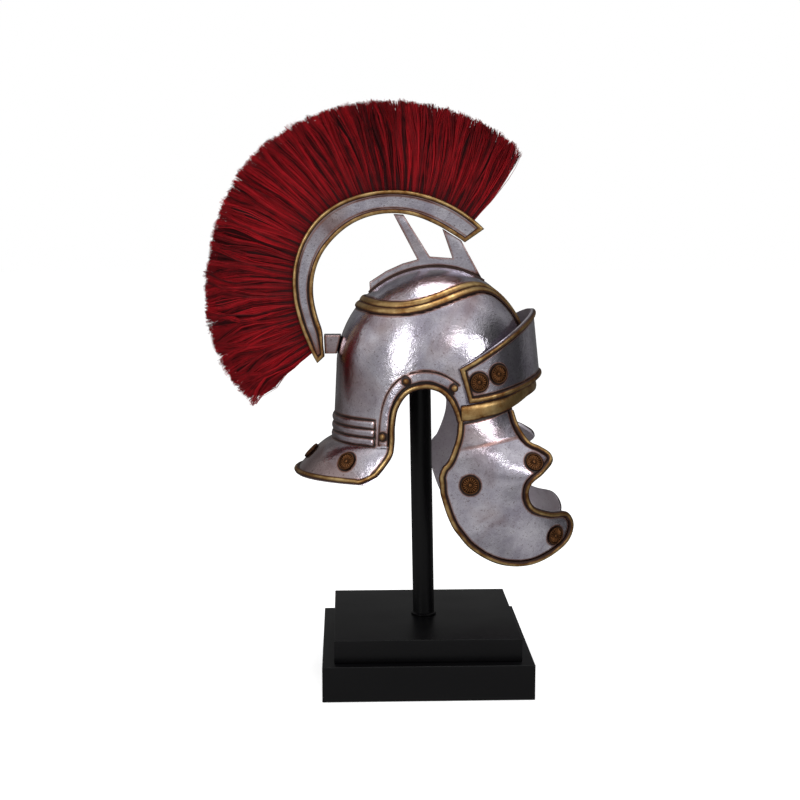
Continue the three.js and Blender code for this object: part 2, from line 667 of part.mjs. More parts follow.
function hairSector(index) {
  const span = (hairLean.backAngle - hairLean.frontAngle) / crest.sectors;
  const clear = 0.12;
  const from = hairLean.frontAngle + index * span + clear;
  const to = from + span - 2 * clear;
  const band = [];
  for (let i = 0; i <= crest.locksPerSector; i += 1) {
    const angle = from + (to - from) * i / crest.locksPerSector;
    band.push(crestPoint(angle, spoke('outer', angle) + 2 * gap));
    band.unshift(crestPoint(angle, spoke('outer', angle) + crest.backing));
  }
  let solid = toManifold(extrudeAcross(new THREE.Shape(band), crest.hairRootHalf));
  const lock = (to - from) / crest.locksPerSector;
  for (let i = 0; i < crest.locksPerSector; i += 1) {
    const overlap = lock * 0.06;
    const start = Math.max(from, from + i * lock - overlap);
    const end = Math.min(to, from + (i + 1) * lock + overlap);
    const long = i % 2 ? 1 : 0.975;
    solid = solid.add(toManifold(hairBlock(start, end, [
      { share: 0.03, half: crest.hairRootHalf - 0.5, squeeze: 0.8 },
      { share: 0.45, half: crest.hairMidHalf, squeeze: 1 },
      { share: long, half: crest.hairTipHalf, squeeze: 0.92 },
    ])));
  }
  return fromManifold(solid);
}

// Saddle plate with its two struts, standing on the crown and carrying the crest
function crownZ(x) {
  const span = x > bowl.centreX ? bowl.front : bowl.back;
  const across = (x - bowl.centreX) / span;
  return bowl.equatorZ + bowl.height * Math.sqrt(Math.max(1 - across * across, 0));
}

function crestUnderside(x) {
  let angle = 60;
  for (let round = 0; round < 30; round += 1) {
    const miss = crestPoint(angle, spoke('inner', angle)).x - x;
    angle += miss * 0.4;
  }
  return crestPoint(angle, spoke('inner', angle)).y - 2.5 * gap;
}

function saddlePlate() {
  const foot = Array.from({ length: saddle.footSteps + 1 }, (_, i) => {
    const x = saddle.backX + (saddle.frontX - saddle.backX) * i / saddle.footSteps;
    return new THREE.Vector2(x, crownZ(x) + gap);
  });
  const upper = saddleTop.map(({ x, z }) => new THREE.Vector2(x, z ?? crestUnderside(x)));
  return extrudeAcross(new THREE.Shape([...foot, ...upper]), saddle.half);
}

function rearStay() {
  const [upper, lower] = [210, 223].map((angle) => crestPoint(angle, spoke('inner', angle)));
  const channelX = (z) => lower.x + (upper.x - lower.x) * (z - lower.y) / (upper.y - lower.y);
  const bowlX = (z) => barePoint(Math.PI, levelAt(z)).x;
  const { lowZ, highZ } = stay;
  return extrudeAcross(new THREE.Shape([
    new THREE.Vector2(channelX(lowZ) + gap, lowZ), new THREE.Vector2(bowlX(lowZ) - gap, lowZ),
    new THREE.Vector2(bowlX(highZ) - gap, highZ), new THREE.Vector2(channelX(highZ) + gap, highZ),
  ]), stay.half);
}

// Stand
function stepBlock(side, height) {
  const half = side / 2 - stand.edge;
  const square = new THREE.Shape([
    new THREE.Vector2(-half, -half), new THREE.Vector2(half, -half),
    new THREE.Vector2(half, half), new THREE.Vector2(-half, half),
  ]);
  const geometry = new THREE.ExtrudeGeometry(square, {
    depth: height - 2 * stand.edge, steps: 1,
    bevelSize: stand.edge, bevelThickness: stand.edge, bevelSegments: 2,
  });
  geometry.translate(0, 0, stand.edge);
  return geometry;
}

function standPost() {
  const footZ = stand.lowerHeight + stand.upperHeight;
  const topX = stand.postLean * (crownZ(0) - footZ);
  const crownInside = crownZ(topX) - bowl.wall - gap;
  const post = roundPiece([
    [0, footZ], [stand.footRadius, footZ], [stand.footRadius, footZ + stand.footHeight],
    [stand.postRadius, footZ + stand.footHeight], [stand.postRadius, crownInside - 5],
    [stand.postRadius * 0.6, crownInside - 2.8], [0, crownInside - 0.9],
  ], 16);
  const lean = new THREE.Matrix4().makeShear(0, 0, 0, 0, stand.postLean, 0);
  lean.setPosition(-stand.postLean * footZ, 0, 0);
  return post.applyMatrix4(lean);
}

// The pieces, from the floor up
addPiece('base_lower', stepBlock(stand.lowerSide, stand.lowerHeight), black);
addPiece('base_upper', stepBlock(stand.upperSide, stand.upperHeight), black).position.z = stand.lowerHeight;
addPiece('post', standPost(), black);
const [dome, neckPiece] = helmetBowl();
addPiece('helmet_bowl', dome, silver);
addPiece('neck_guard', neckPiece, silver);
addPiece('rim_edging', rimEdging(), gold);
addPiece('front_rim_strip', frontRimStrip(), gold);
addPiece('brow_guard', browGuard(), silver);
addPiece('brow_edging', browEdging(), gold);
addPiece('crest_saddle', saddlePlate(), silver);
addPiece('rear_stay', rearStay(), silver);
addPiece('crest_channel', extrudeAcross(new THREE.Shape(crestOutline(0)), crest.coreHalf), silver);

const pairs = [
  ['ear_strip', earStripGeometry(), silver],
  ['crown_ridge', crownRidgeGeometry(), gold],
  ['cheek_guard', cheekGuardGeometry(), silver],
  ['cheek_edging', cheekEdging(), gold],
];
rivetPlaces.forEach((place, i) => {
  pairs.push([`rivet_${i + 1}`, seat(rivetBlank(), sidePlace(place), strip.height + 3 * gap), gold]);
});
cheekRosettes.forEach(({ x, z }, i) => {
  pairs.push([`cheek_rosette_${i + 1}`, seat(rosetteBlank(), cheekPlace(x, z), gap), bronze]);
});
browRosettes.forEach(({ x, z }, i) => {
  const azimuth = -Math.acos((x - brow.centreX) / (brow.front + brow.lean * (brow.leanZ - z)));
  pairs.push([`brow_rosette_${i + 1}`, seat(rosetteBlank(), browSurface({ azimuth, z }), gap), bronze]);
});
for (const [name, geometry, finish] of pairs) {
  addPiece(`${name}_right`, geometry, finish);
  addPiece(`${name}_left`, mirrored(geometry), finish);
}
guardRosettes.forEach(({ azimuth, z }, i) => {
  const place = bowlPlace(radians(azimuth), levelAt(z));
  addPiece(`guard_rosette_${i + 1}`, seat(rosetteBlank(), place, gap), bronze);
});

const border = crestBorder();
addPiece('crest_border_right', border, gold).position.y = -crest.coreHalf;
addPiece('crest_border_left', border.clone(), gold).position.y = crest.borderHalf;
for (let i = 0; i < crest.sectors; i += 1) {
  addPiece(`crest_hair_${i + 1}`, hairSector(i), hairRed);
}

export default helmet;
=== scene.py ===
# Roman legionary helmet with a hair crest on its two-step stand. The face looks along +X, +Z is up.
# Sizes are written in millimetres and turned to metres where a mesh is made.
import math

import bpy
import numpy as np
from mathutils.kdtree import KDTree
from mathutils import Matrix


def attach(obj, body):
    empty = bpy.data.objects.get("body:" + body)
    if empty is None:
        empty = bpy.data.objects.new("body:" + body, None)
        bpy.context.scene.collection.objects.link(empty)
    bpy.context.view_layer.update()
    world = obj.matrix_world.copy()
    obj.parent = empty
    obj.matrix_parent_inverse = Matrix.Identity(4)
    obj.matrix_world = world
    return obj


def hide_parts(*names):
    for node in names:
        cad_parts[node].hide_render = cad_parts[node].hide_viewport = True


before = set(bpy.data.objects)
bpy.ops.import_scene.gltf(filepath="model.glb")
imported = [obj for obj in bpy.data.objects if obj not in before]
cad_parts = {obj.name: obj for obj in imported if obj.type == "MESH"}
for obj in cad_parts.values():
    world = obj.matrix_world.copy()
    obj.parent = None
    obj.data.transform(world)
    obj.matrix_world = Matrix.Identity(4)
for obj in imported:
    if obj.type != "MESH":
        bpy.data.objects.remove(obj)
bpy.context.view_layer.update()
scene = bpy.context.scene


def add_object(name, data):
    """Object of this data, linked to the scene."""
    thing = bpy.data.objects.new(name, data)
    scene.collection.objects.link(thing)
    return thing


# Camera: level with the crest, square to the helmet's right side and a little behind its middle.
camera = add_object("camera", bpy.data.cameras.new("camera"))
camera.data.lens, camera.data.sensor_width = 66.6, 36
camera.location = (-0.0954, -1.7905, 0.5950)
camera.rotation_euler = (math.radians(81.878), 0, math.radians(-2.108))
scene.camera = camera

# Stand steps. Two square blocks of medium-density fibreboard, the smaller glued on the larger, sprayed
# with satin black lacquer. The arrises are eased, so that each edge carries a thin line of light.
gap = 0.35
step_sizes = [("base_lower", 250, 0, 42.5), ("base_upper", 222, 42.5, 27.7)]
arris = 1.0


def linear(hex_colour):
    """sRGB hex to the linear colour that a socket takes."""
    parts = [int(hex_colour[i:i + 2], 16) / 255 for i in (1, 3, 5)]
    return tuple(c / 12.92 if c <= 0.04045 else ((c + 0.055) / 1.055) ** 2.4 for c in parts) + (1,)


def feed(tree, node, inputs):
    """Sets a node's inputs. Each is a value, or the output that it links from."""
    for socket, value in inputs.items():
        if isinstance(value, bpy.types.NodeSocket):
            tree.links.new(value, node.inputs[socket])
        else:
            node.inputs[socket].default_value = value


def add_node(tree, kind, inputs, **settings):
    node = tree.nodes.new(kind)
    for name, value in settings.items():
        setattr(node, name, value)
    feed(tree, node, inputs)
    return node


def start_material(name):
    """Material, its node tree, its surface, and the place in metres that its textures read."""
    material = bpy.data.materials.new(name)
    material.use_nodes = True
    tree = material.node_tree
    place = add_node(tree, "ShaderNodeTexCoord", {}).outputs["Object"]
    return material, tree, tree.nodes["Principled BSDF"], place


def noise(tree, place, scale, detail, **more):
    """Noise round 0.5. Its scale is in waves to the metre."""
    inputs = {"Vector": place, "Scale": scale, "Detail": detail, **more}
    return add_node(tree, "ShaderNodeTexNoise", inputs).outputs[0]


def ranged(tree, value, low, high, to_low=0.0, to_high=1.0):
    """Turns a value's way from low to high into one from to_low to to_high, held at both ends."""
    return add_node(tree, "ShaderNodeMapRange", {0: value, 1: low, 2: high, 3: to_low, 4: to_high}).outputs[0]


def blend(tree, share, first, second):
    """Colour between two, each a hex colour or a link."""
    first, second = [linear(c) if isinstance(c, str) else c for c in (first, second)]
    return add_node(tree, "ShaderNodeMix", {0: share, 6: first, 7: second}, data_type="RGBA").outputs[2]


def bump(tree, height, strength, distance, **under):
    inputs = {"Height": height, "Strength": strength, "Distance": distance, **under}
    return add_node(tree, "ShaderNodeBump", inputs).outputs[0]


def smooth_shaded(mesh, sharp):
    """Smooth shading, but for edges that turn by more than this many degrees."""
    mesh.shade_smooth()
    mesh.set_sharp_from_angle(angle=math.radians(sharp))


def write_values(mesh, key, values):
    """Writes one number on each point, for a material to read."""
    numbers = np.asarray(values, np.float32).reshape(-1)
    mesh.attributes.new(key, "FLOAT", "POINT").data.foreach_set("value", numbers)


def make_piece(name, points, faces, material, values=None, sharp=40):
    """Mesh object from points in millimetres, with its faces turned outwards."""
    points = np.asarray(points, float).reshape(-1, 3) / 1000
    a, b, c = points[np.array([face[:3] for face in faces])].transpose(1, 0, 2)
    if (a * np.cross(b, c)).sum() < 0:
        faces = [face[::-1] for face in faces]
    mesh = bpy.data.meshes.new(name)
    mesh.from_pydata(points.tolist(), [], [list(map(int, face)) for face in faces])
    for key, numbers in (values or {}).items():
        write_values(mesh, key, numbers)
    smooth_shaded(mesh, sharp)
    mesh.materials.append(material)
    return add_object(name, mesh)


def applied(piece):
    """The piece with its modifiers made part of its mesh."""
    bpy.context.view_layer.update()
    done = bpy.data.meshes.new_from_object(piece.evaluated_get(bpy.context.evaluated_depsgraph_get()))
    piece.modifiers.clear()
    piece.data = done
    return piece


def dress(piece, slot, *nodes):
    """Says what a piece rides and which nodes it replaces, if any. The slot is not used."""
    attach(piece, "root")
    if nodes:
        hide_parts(*nodes)


# Satin black lacquer: nearly black, a faint violet cast, and a slight orange peel a few millimetres across.
lacquer, tree, surface, place = start_material("satin_black_lacquer")
haze, peel = noise(tree, place, 18, 4), noise(tree, place, 320, 2)
feed(tree, surface, {
    "Base Color": blend(tree, haze, "#020203", "#050406"), "Roughness": ranged(tree, haze, 0, 1, 0.3, 0.42),
    "Normal": bump(tree, peel, 0.05, 0.0003), "Specular IOR Level": 0.2})

for name, side, low, height in step_sizes:
    h = side / 2
    corners = [(x, y, z) for z in (low, low + height) for x, y in ((-h, -h), (h, -h), (h, h), (-h, h))]
    faces = [(0, 3, 2, 1), (4, 5, 6, 7), (0, 1, 5, 4), (1, 2, 6, 5), (2, 3, 7, 6), (3, 0, 4, 7)]
    block = make_piece(name + "_block", corners, faces, lacquer)
    ease = block.modifiers.new("eased arris", "BEVEL")
    ease.width, ease.segments = arris / 1000, 4
    applied(block)
    smooth_shaded(block.data, 35)
    dress(block, "stand_black", name)

# Post. A steel tube in the same black, with a small foot collar on the upper step. It leans back by about
# a degree and ends in a rounded top under the crown, which the bowl hides.
post_foot, post_top = 70.2, 497.5
post_radius, collar_radius, collar_height, post_lean = 13.2, 15.5, 3, -0.018


def ring_faces(rows, columns, closed=False):
    """Quads over rows of points that each close on themselves. A closed set of rows is a ring too."""
    last = rows if closed else rows - 1
    i, j = np.meshgrid(np.arange(last), np.arange(columns), indexing="ij")
    down, right = (i + 1) % rows, (j + 1) % columns
    quads = np.stack([i * columns + j, i * columns + right, down * columns + right, down * columns + j], -1)
    return quads.reshape(-1, 4).tolist()


def lathe(name, profile, sides, material, sharp=40):
    """Closed turned piece from a profile of (radius, height) that starts and ends on the axis."""
    turn = np.arange(sides) / sides * 2 * math.pi
    rings = [np.column_stack([r * np.cos(turn), r * np.sin(turn), np.full(sides, z)]) for r, z in profile[1:-1]]
    points = np.vstack(rings + [[(0, 0, profile[0][1])], [(0, 0, profile[-1][1])]])
    faces = ring_faces(len(rings), sides)
    low, high, last = len(points) - 2, len(points) - 1, (len(rings) - 1) * sides
    faces += [[low, (j + 1) % sides, j] for j in range(sides)]
    faces += [[high, last + j, last + (j + 1) % sides] for j in range(sides)]
    return make_piece(name, points, faces, material, sharp=sharp)


crown_cap = [(post_radius * math.cos(a), post_top - 5.5 + 4.5 * math.sin(a)) for a in np.linspace(0, 1.45, 9)]
post = lathe("post_tube", [(0, post_foot), (collar_radius - 0.6, post_foot), (collar_radius, post_foot + 0.6),
                           (collar_radius, post_foot + collar_height - 0.8),
                           (collar_radius - 0.8, post_foot + collar_height),
                           (post_radius + 0.1, post_foot + collar_height + 0.2)]
             + [(post_radius, z) for z in np.linspace(post_foot + 4, post_top - 6, 12)]
             + crown_cap + [(0, post_top - 1)], 64, lacquer)
for vertex in post.data.vertices:
    vertex.co.x += post_lean * (vertex.co.z - post_foot / 1000)
dress(post, "post_black", "post")

# Helmet bowl. Cast resin over a moulded form: a round dome that flares a little to the rim, three ribs at
# the nape and a neck guard that sweeps out. It is gilded with silver leaf and antiqued with a brown glaze,
# which stays in the corners beside every raised border and rubs off the high places.
centre_x, bowl_front, bowl_back, bowl_side = 14, 113, 121, 97
equator_z, dome_height, flare_per_mm, wall = 380, 122.5, 0.0004, 3
rib_top, rib_bottom, ribs, rib_height, rib_end_x = 326, 295, 3, 2.4, -61
guard_z, guard_back, guard_side, guard_curve, corner_x = 252.5, 172, 112, 1.5, -74
rim_start_x, rim_start_z, rim_slope, rim_rise, turn_from_x, turn_to_x = 35, 326, 0.1, 0.0017, -34, 24
brow_from_x, brow_to_x, brow_step = 101, 106, 5.3
ear_arch = [(-72, 254.5), (-61.6, 260.8), (-49.6, 275), (-41.4, 288), (-39, 302), (-38.4, 322),
            (-34.4, 342.5), (-22.5, 359.5), (-4.4, 365.5), (12, 362), (22, 353), (28.5, 341), (33.5, 326)]


def spans_at(z):
    """Half lengths of the bowl to the front, back and side at a level."""
    up = np.clip((z - equator_z) / dome_height, 0, 1)
    scale = np.where(z >= equator_z, np.sqrt(1 - up ** 2),
                     1 + flare_per_mm * (equator_z - np.maximum(z, rib_bottom)))
    out = np.clip((rib_bottom - z) / (rib_bottom - guard_z), 0, None) ** (1 / guard_curve)
    front, back, side = bowl_front * scale, bowl_back * scale, bowl_side * scale
    return front, back + (guard_back - back) * out, side + (guard_side - side) * out


def level_at(z):
    """0 at the crown, 1 at the equator, and 1 more for each 100 mm down."""
    up = np.clip((z - equator_z) / dome_height, 0, 1)
    return np.where(z >= equator_z, 1 - np.arcsin(up) / (math.pi / 2), 1 + (equator_z - z) / 100)


def bowl_point(azimuth, level):
    azimuth, level = np.broadcast_arrays(azimuth, level)
    z = np.where(level <= 1, equator_z + dome_height * np.sin((1 - level) * math.pi / 2),
                 equator_z - (level - 1) * 100)
    front, back, side = spans_at(z)
    along = np.where(np.cos(azimuth) > 0, front, back)
    return np.stack([centre_x + along * np.cos(azimuth), side * np.sin(azimuth), z], -1)


def unit(vectors):
    return vectors / np.maximum(np.linalg.norm(vectors, axis=-1, keepdims=True), 1e-9)


def bowl_normal(azimuth, level):
    round_it = bowl_point(azimuth + 1e-3, level) - bowl_point(azimuth - 1e-3, level)
    down_it = bowl_point(azimuth, level + 1e-3) - bowl_point(azimuth, level - 1e-3)
    return unit(np.cross(down_it, round_it))


def bowl_seat(azimuth, level):
    """Places on the bowl, and the way that each faces."""
    return bowl_point(azimuth, level), bowl_normal(azimuth, level)


def side_angles(x, z):
    """Azimuth and level of a place on the bowl's right side, seen square on at x and z."""
    front, back, _ = spans_at(z)
    along = np.where(x > centre_x, front, back)
    return -np.arccos(np.clip((x - centre_x) / along, -1, 1)), level_at(z)


def smooth_line(points, steps):
    """Points at even spacing on a centripetal Catmull-Rom curve."""
    p = np.asarray(points, float)
    p = np.vstack([2 * p[0] - p[1], p, 2 * p[-1] - p[-2]])
    t = np.concatenate([[0], np.cumsum(np.sqrt(np.linalg.norm(np.diff(p, axis=0), axis=1)))])[:, None]
    slope = ((p[1:-1] - p[:-2]) / (t[1:-1] - t[:-2]) - (p[2:] - p[:-2]) / (t[2:] - t[:-2])
             + (p[2:] - p[1:-1]) / (t[2:] - t[1:-1]))
    share = np.linspace(0, 1, 40, endpoint=False)[:, None]
    runs = []
    for i in range(len(points) - 1):
        span = t[i + 2] - t[i + 1]
        a, b, m, n = p[i + 1], p[i + 2], slope[i] * span, slope[i + 1] * span
        runs.append((2 * share ** 3 - 3 * share ** 2 + 1) * a + (share ** 3 - 2 * share ** 2 + share) * m
                    + (3 * share ** 2 - 2 * share ** 3) * b + (share ** 3 - share ** 2) * n)
    line = np.vstack(runs + [p[-2:-1]])
    length = np.concatenate([[0], np.cumsum(np.linalg.norm(np.diff(line, axis=0), axis=1))])
    even = np.linspace(0, length[-1], steps + 1)
    return np.column_stack([np.interp(even, length, line[:, k]) for k in range(line.shape[1])])


def smoothstep(x, low, high):
    t = np.clip((x - low) / (high - low), 0, 1)
    return t * t * (3 - 2 * t)


def rising(x, from_x, start_z, slope, rise):
    """Height of an edge that rises ever faster ahead of from_x."""
    ahead = np.maximum(x - from_x, 0)
    return start_z + slope * ahead + rise * ahead ** 2


def front_rim_z(x):
    step = brow_step * smoothstep(x, brow_from_x, brow_to_x)
    return rising(x, rim_start_x, rim_start_z, rim_slope, rim_rise) + step


def rim_z(azimuth):
    x = centre_x + np.where(np.cos(azimuth) > 0, bowl_front, bowl_back) * np.cos(azimuth)
    return np.where(x >= turn_to_x, front_rim_z(x),
                    guard_z + (rim_start_z - guard_z) * smoothstep(x, turn_from_x, turn_to_x))


def rib_lift(x, z):
    """Three rounded ribs with narrow grooves between, which fade out just short of the ear strip."""
    turn = (rib_top - z) / (rib_top - rib_bottom) * ribs
    inside = (z < rib_top) & (z > rib_bottom)
    return np.where(inside, rib_height * np.abs(np.sin(math.pi * turn)) ** 0.7, 0) * smoothstep(-x, -rib_end_x, 64)


def edge_distance(points, edges):
    """Distance in millimetres from each point to the nearest of the sampled edge lines."""
    edges = np.vstack(edges)
    tree_of_edges = KDTree(len(edges))
    for i, edge in enumerate(edges):
        tree_of_edges.insert(edge, i)
    tree_of_edges.balance()
    return np.array([tree_of_edges.find(p)[2] for p in points])


# Silver leaf over red-brown bole: cool grey with a lilac cast, cloudy where the burnisher missed, deeper toned
# at the nape, with fine crinkles. Brown glaze lies in a dark line beside each border and breaks up through a
# rusty edge. border_mm says how far the nearest border is, and inside marks the lining.
def attribute(tree, name):
    return add_node(tree, "ShaderNodeAttribute", {}, attribute_name=name).outputs["Fac"]


def maths(tree, operation, *values):
    return add_node(tree, "ShaderNodeMath", dict(enumerate(values)), operation=operation).outputs[0]


leaf, tree, surface, place = start_material("antiqued_silver_leaf")
border, lining = attribute(tree, "border_mm"), attribute(tree, "inside")
clouds, drift = noise(tree, place, 30, 6, Roughness=0.62), noise(tree, place, 11, 3, Distortion=0.6)
grain, crinkle = noise(tree, place, 420, 4, Roughness=0.65), noise(tree, place, 140, 5, Roughness=0.6)
dents = noise(tree, place, 38, 2, Distortion=0.4)
silver = blend(tree, ranged(tree, clouds, 0.35, 0.66), "#b2acba", "#dedae3")
spot = add_node(tree, "ShaderNodeSeparateXYZ", {0: place}).outputs
nape = ranged(tree, spot["X"], -0.055, -0.1, 0, 0.09)
skirt = ranged(tree, spot["Z"], 0.29, 0.262, 0, 0.16)
toned = maths(tree, "ADD", drift, nape)
deeper = maths(tree, "MULTIPLY_ADD", maths(tree, "MULTIPLY", nape, skirt), 3.5, toned)
stained = blend(tree, ranged(tree, deeper, 0.52, 0.72, 0, 0.62), silver, "#8a5f4c")
speckled = blend(tree, ranged(tree, grain, 0.57, 0.68, 0, 0.6), stained, "#5c4038")
ragged = maths(tree, "ADD", border, maths(tree, "MULTIPLY_ADD", clouds, 2, -1))
rust, glaze = ranged(tree, ragged, 3.5, 1.8, 0, 0.85), ranged(tree, ragged, 2.1, 1.5)
glazed = blend(tree, glaze, blend(tree, rust, speckled, "#8a4f30"), "#210f0a")
metal, sheen = ranged(tree, glaze, 0, 1, 1, 0.35), ranged(tree, clouds, 0.3, 0.7, 0.22, 0.11)
rough = maths(tree, "MULTIPLY_ADD", rust, 0.2, sheen)
crinkled = bump(tree, crinkle, 0.42, 0.0009, Normal=bump(tree, grain, 0.35, 0.0004))
feed(tree, surface, {
    "Base Color": blend(tree, maths(tree, "MULTIPLY", lining, 0.7), glazed, "#857a7e"),
    "Metallic": maths(tree, "MULTIPLY_ADD", lining, -0.35, metal),
    "Roughness": maths(tree, "MULTIPLY_ADD", lining, 0.22, rough),
    "Normal": bump(tree, dents, 0.32, 0.0016, Normal=crinkled)})

# The lines where something raised meets the bowl. The later sections use the same ones.
crown_line = [(178.5, 41), (160, 40.5), (138, 38.8), (119, 38.6), (104, 41), (89, 45.7), (75, 50), (60, 53.2),
              (46, 54.2), (34, 52.6), (25, 48.5), (18, 40), (14, 29.5), (11.5, 19), (10, 9)]
ridge_width, ridge_height, ridge_valley = 18, 2.8, 1.3
strip_line = [(-51.6, 298), (-50.6, 318), (-47.6, 340), (-41, 358), (-29, 372), (-13, 379), (3, 379.8),
              (18, 374.5), (31.6, 365)]
strip_width, strip_height = 11.5, 1.6
bead_width, bead_height = 6.5, 3.4


def sweep(path, normals, section, scale=1.0):
    """Rings of a section of (across, lift) along a path on a surface."""
    across = unit(np.cross(normals, unit(np.gradient(path, axis=0))))
    wide = section[:, 0] * np.broadcast_to(scale, len(path))[:, None]
    return path[:, None] + across[:, None] * wide[..., None] + normals[:, None] * section[:, 1, None]


def tube_faces(rows, columns):
    """Faces over rows of points that each close on themselves, with a cap at either end."""
    caps = [range(columns - 1, -1, -1), range((rows - 1) * columns, rows * columns)]
    return ring_faces(rows, columns) + [list(cap) for cap in caps]


def on_bowl(points):
    """Normals of the bowl at points that lie on it."""
    front, back, side = spans_at(points[:, 2])
    along = np.where(points[:, 0] > centre_x, front, back)
    azimuth = np.arctan2(points[:, 1] / np.maximum(side, 1e-6), (points[:, 0] - centre_x) / np.maximum(along, 1e-6))
    return bowl_normal(azimuth, level_at(points[:, 2]))


def mirrored(points):
    return points * np.array([1, -1, 1])


def both_sides(things):
    """Lines or seats of the right side, and of the left."""
    return [*things, *map(mirrored, things)]


def side_path(line, steps):
    flat = smooth_line(line, steps)
    return bowl_seat(*side_angles(flat[:, 0], flat[:, 1]))


def side_line(x, y, z):
    """Points of a line in the side view, at one distance across."""
    return np.column_stack(np.broadcast_arrays(x, y, z))


def beside(path, normals, offsets, scale=1.0):
    """Lines at these distances to the side of a path."""
    return sweep(path, normals, np.array([(offset, 0.0) for offset in offsets]), scale).reshape(-1, 3)


def crown_z(x):
    """Height of the bowl's middle line."""
    span = np.where(x > centre_x, bowl_front, bowl_back)
    return equator_z + dome_height * np.sqrt(1 - ((x - centre_x) / span) ** 2)


each_side = (("right", lambda points: points), ("left", mirrored))
ridge_angles = smooth_line(crown_line, 260)
ridge_path, ridge_normals = bowl_seat(-np.radians(ridge_angles[:, 0]), 1 - ridge_angles[:, 1] / 90)
ridge_narrow = 1 - 0.42 * smoothstep(np.linspace(0, 1, len(ridge_path)), 0.66, 0.95)
strip_path, strip_normals = side_path(strip_line, 200)
arch_path, arch_normals = side_path(ear_arch[1:], 260)
corner_angle = math.acos((corner_x - centre_x) / guard_back)
guard_path = bowl_point(-np.linspace(corner_angle, math.pi, 160), level_at(guard_z + 0.5))
saddle_x, saddle_half = np.linspace(-66, 71, 140), 5
saddle_foot_z = crown_z(saddle_x)
rim_edges = beside(arch_path, arch_normals, [bead_width])
ridge_edges = beside(ridge_path, ridge_normals, [-ridge_width / 2, ridge_width / 2], ridge_narrow)
strip_edges = beside(strip_path, strip_normals, [-strip_width / 2, strip_width / 2])
guard_edges = guard_path + np.array([0, 0, bead_width * 0.8])
saddle_edges = [side_line(saddle_x, y, saddle_foot_z) for y in (-saddle_half, saddle_half)]
rib_ends = bowl_point(*side_angles(rib_end_x - 1.0, np.linspace(rib_bottom, rib_top, 60)))
groove_edges = []
for z in np.linspace(rib_top, rib_bottom, ribs + 1):
    line = bowl_point(np.linspace(math.radians(128), math.radians(232), 300), level_at(z))
    groove_edges.append(line[line[:, 0] < rib_end_x])

columns = 264
azimuth = (np.arange(columns) + 0.5) / columns * 2 * math.pi
dome_levels, shares = np.linspace(0.02, 1, 52), np.linspace(0, 1, 125)[1:]
inner_shares = np.linspace(1, 0, 40)[:-1]


def bowl_row(level, lift=0.0, ribbed=False):
    row, normal = bowl_seat(azimuth, level)
    return row + normal * (lift + ribbed * rib_lift(row[:, 0], row[:, 2]))[:, None]


def level_below(share):
    return level_at(equator_z - share * (equator_z - rim_z(azimuth)))


rows = [bowl_row(level) for level in dome_levels]
rows += [bowl_row(level_below(share), ribbed=True) for share in shares]
rows += [bowl_row(level_below(share), -wall) for share in inner_shares]
rows += [bowl_row(level, -wall) for level in dome_levels[::-3]]
crown, last_row = len(rows) * columns, (len(rows) - 1) * columns
points = np.vstack(rows + [[(centre_x, 0, equator_z + dome_height - inward)] for inward in (0, wall)])
faces = ring_faces(len(rows), columns)
faces += [[crown, (j + 1) % columns, j] for j in range(columns)]
faces += [[crown + 1, last_row + j, last_row + (j + 1) % columns] for j in range(columns)]
bowl = make_piece("bowl_shell", points, faces, leaf)


def prism(name, line, half):
    """Closed side view made as thick as twice its half width, in silver leaf."""
    line = np.asarray(line, float)
    points = np.vstack([side_line(line[:, 0], y, line[:, 1]) for y in (-half, half)])
    return make_piece(name, points, tube_faces(2, len(line)), leaf)


arch = smooth_line([(-80, 240)] + ear_arch, 160)
cutter = prism("ear_cutter", np.vstack([arch, [(arch[-1, 0], arch[0, 1])]]), 150)
cut = bowl.modifiers.new("ear openings", "BOOLEAN")
cut.operation, cut.solver, cut.object = "DIFFERENCE", "EXACT", cutter
applied(bowl)
bpy.data.objects.remove(cutter)


def in_leaf(piece, edges, *nodes, inside=None):
    """Writes the two values that the silver leaf reads, and sets the piece on the root in place of its nodes."""
    mesh = piece.data
    places = np.empty(len(mesh.vertices) * 3, np.float32)
    mesh.vertices.foreach_get("co", places)
    places = places.reshape(-1, 3) * 1000
    lining = inside(places) if inside else np.zeros(len(places))
    write_values(mesh, "border_mm", np.where(lining > 0.5, 20, edge_distance(places, edges)))
    write_values(mesh, "inside", lining)
    smooth_shaded(mesh, 40)
    dress(piece, "silver_leaf", *nodes)


# A point is on the lining when it lies within this share of the way out to the shell's outside.
well_inside = 0.985


def inside_bowl(points):
    front, back, side = spans_at(np.minimum(points[:, 2], equator_z))
    along = np.where(points[:, 0] > centre_x, front, back)
    up = np.clip(points[:, 2] - equator_z, 0, None) / dome_height
    reach = np.sqrt(((points[:, 0] - centre_x) / along) ** 2 + (points[:, 1] / side) ** 2 + up ** 2)
    return (reach < well_inside).astype(float)


def ring_round(centre, normal, radius, count=40):
    """Points on a circle that lies flat on a surface."""
    side = unit(np.cross(normal, (0.3, 0.2, 1.0)))
    other = np.cross(normal, side)
    turn = np.arange(count) / count * 2 * math.pi
    return centre + radius * (np.cos(turn)[:, None] * side + np.sin(turn)[:, None] * other)


rosette_radius, rivet_radius = 10.8, 4.6
guard_seats = [bowl_seat(np.radians(a), level_at(z)) for a, z in ((180, 277), (136, 277), (-136, 277))]
bowl_edges = both_sides([rim_edges, guard_edges, ridge_edges, strip_edges, rib_ends]) + saddle_edges + groove_edges
bowl_edges += [ring_round(p, q, rosette_radius + 0.4) for p, q in guard_seats]
in_leaf(bowl, bowl_edges, "helmet_bowl", "neck_guard", inside=inside_bowl)

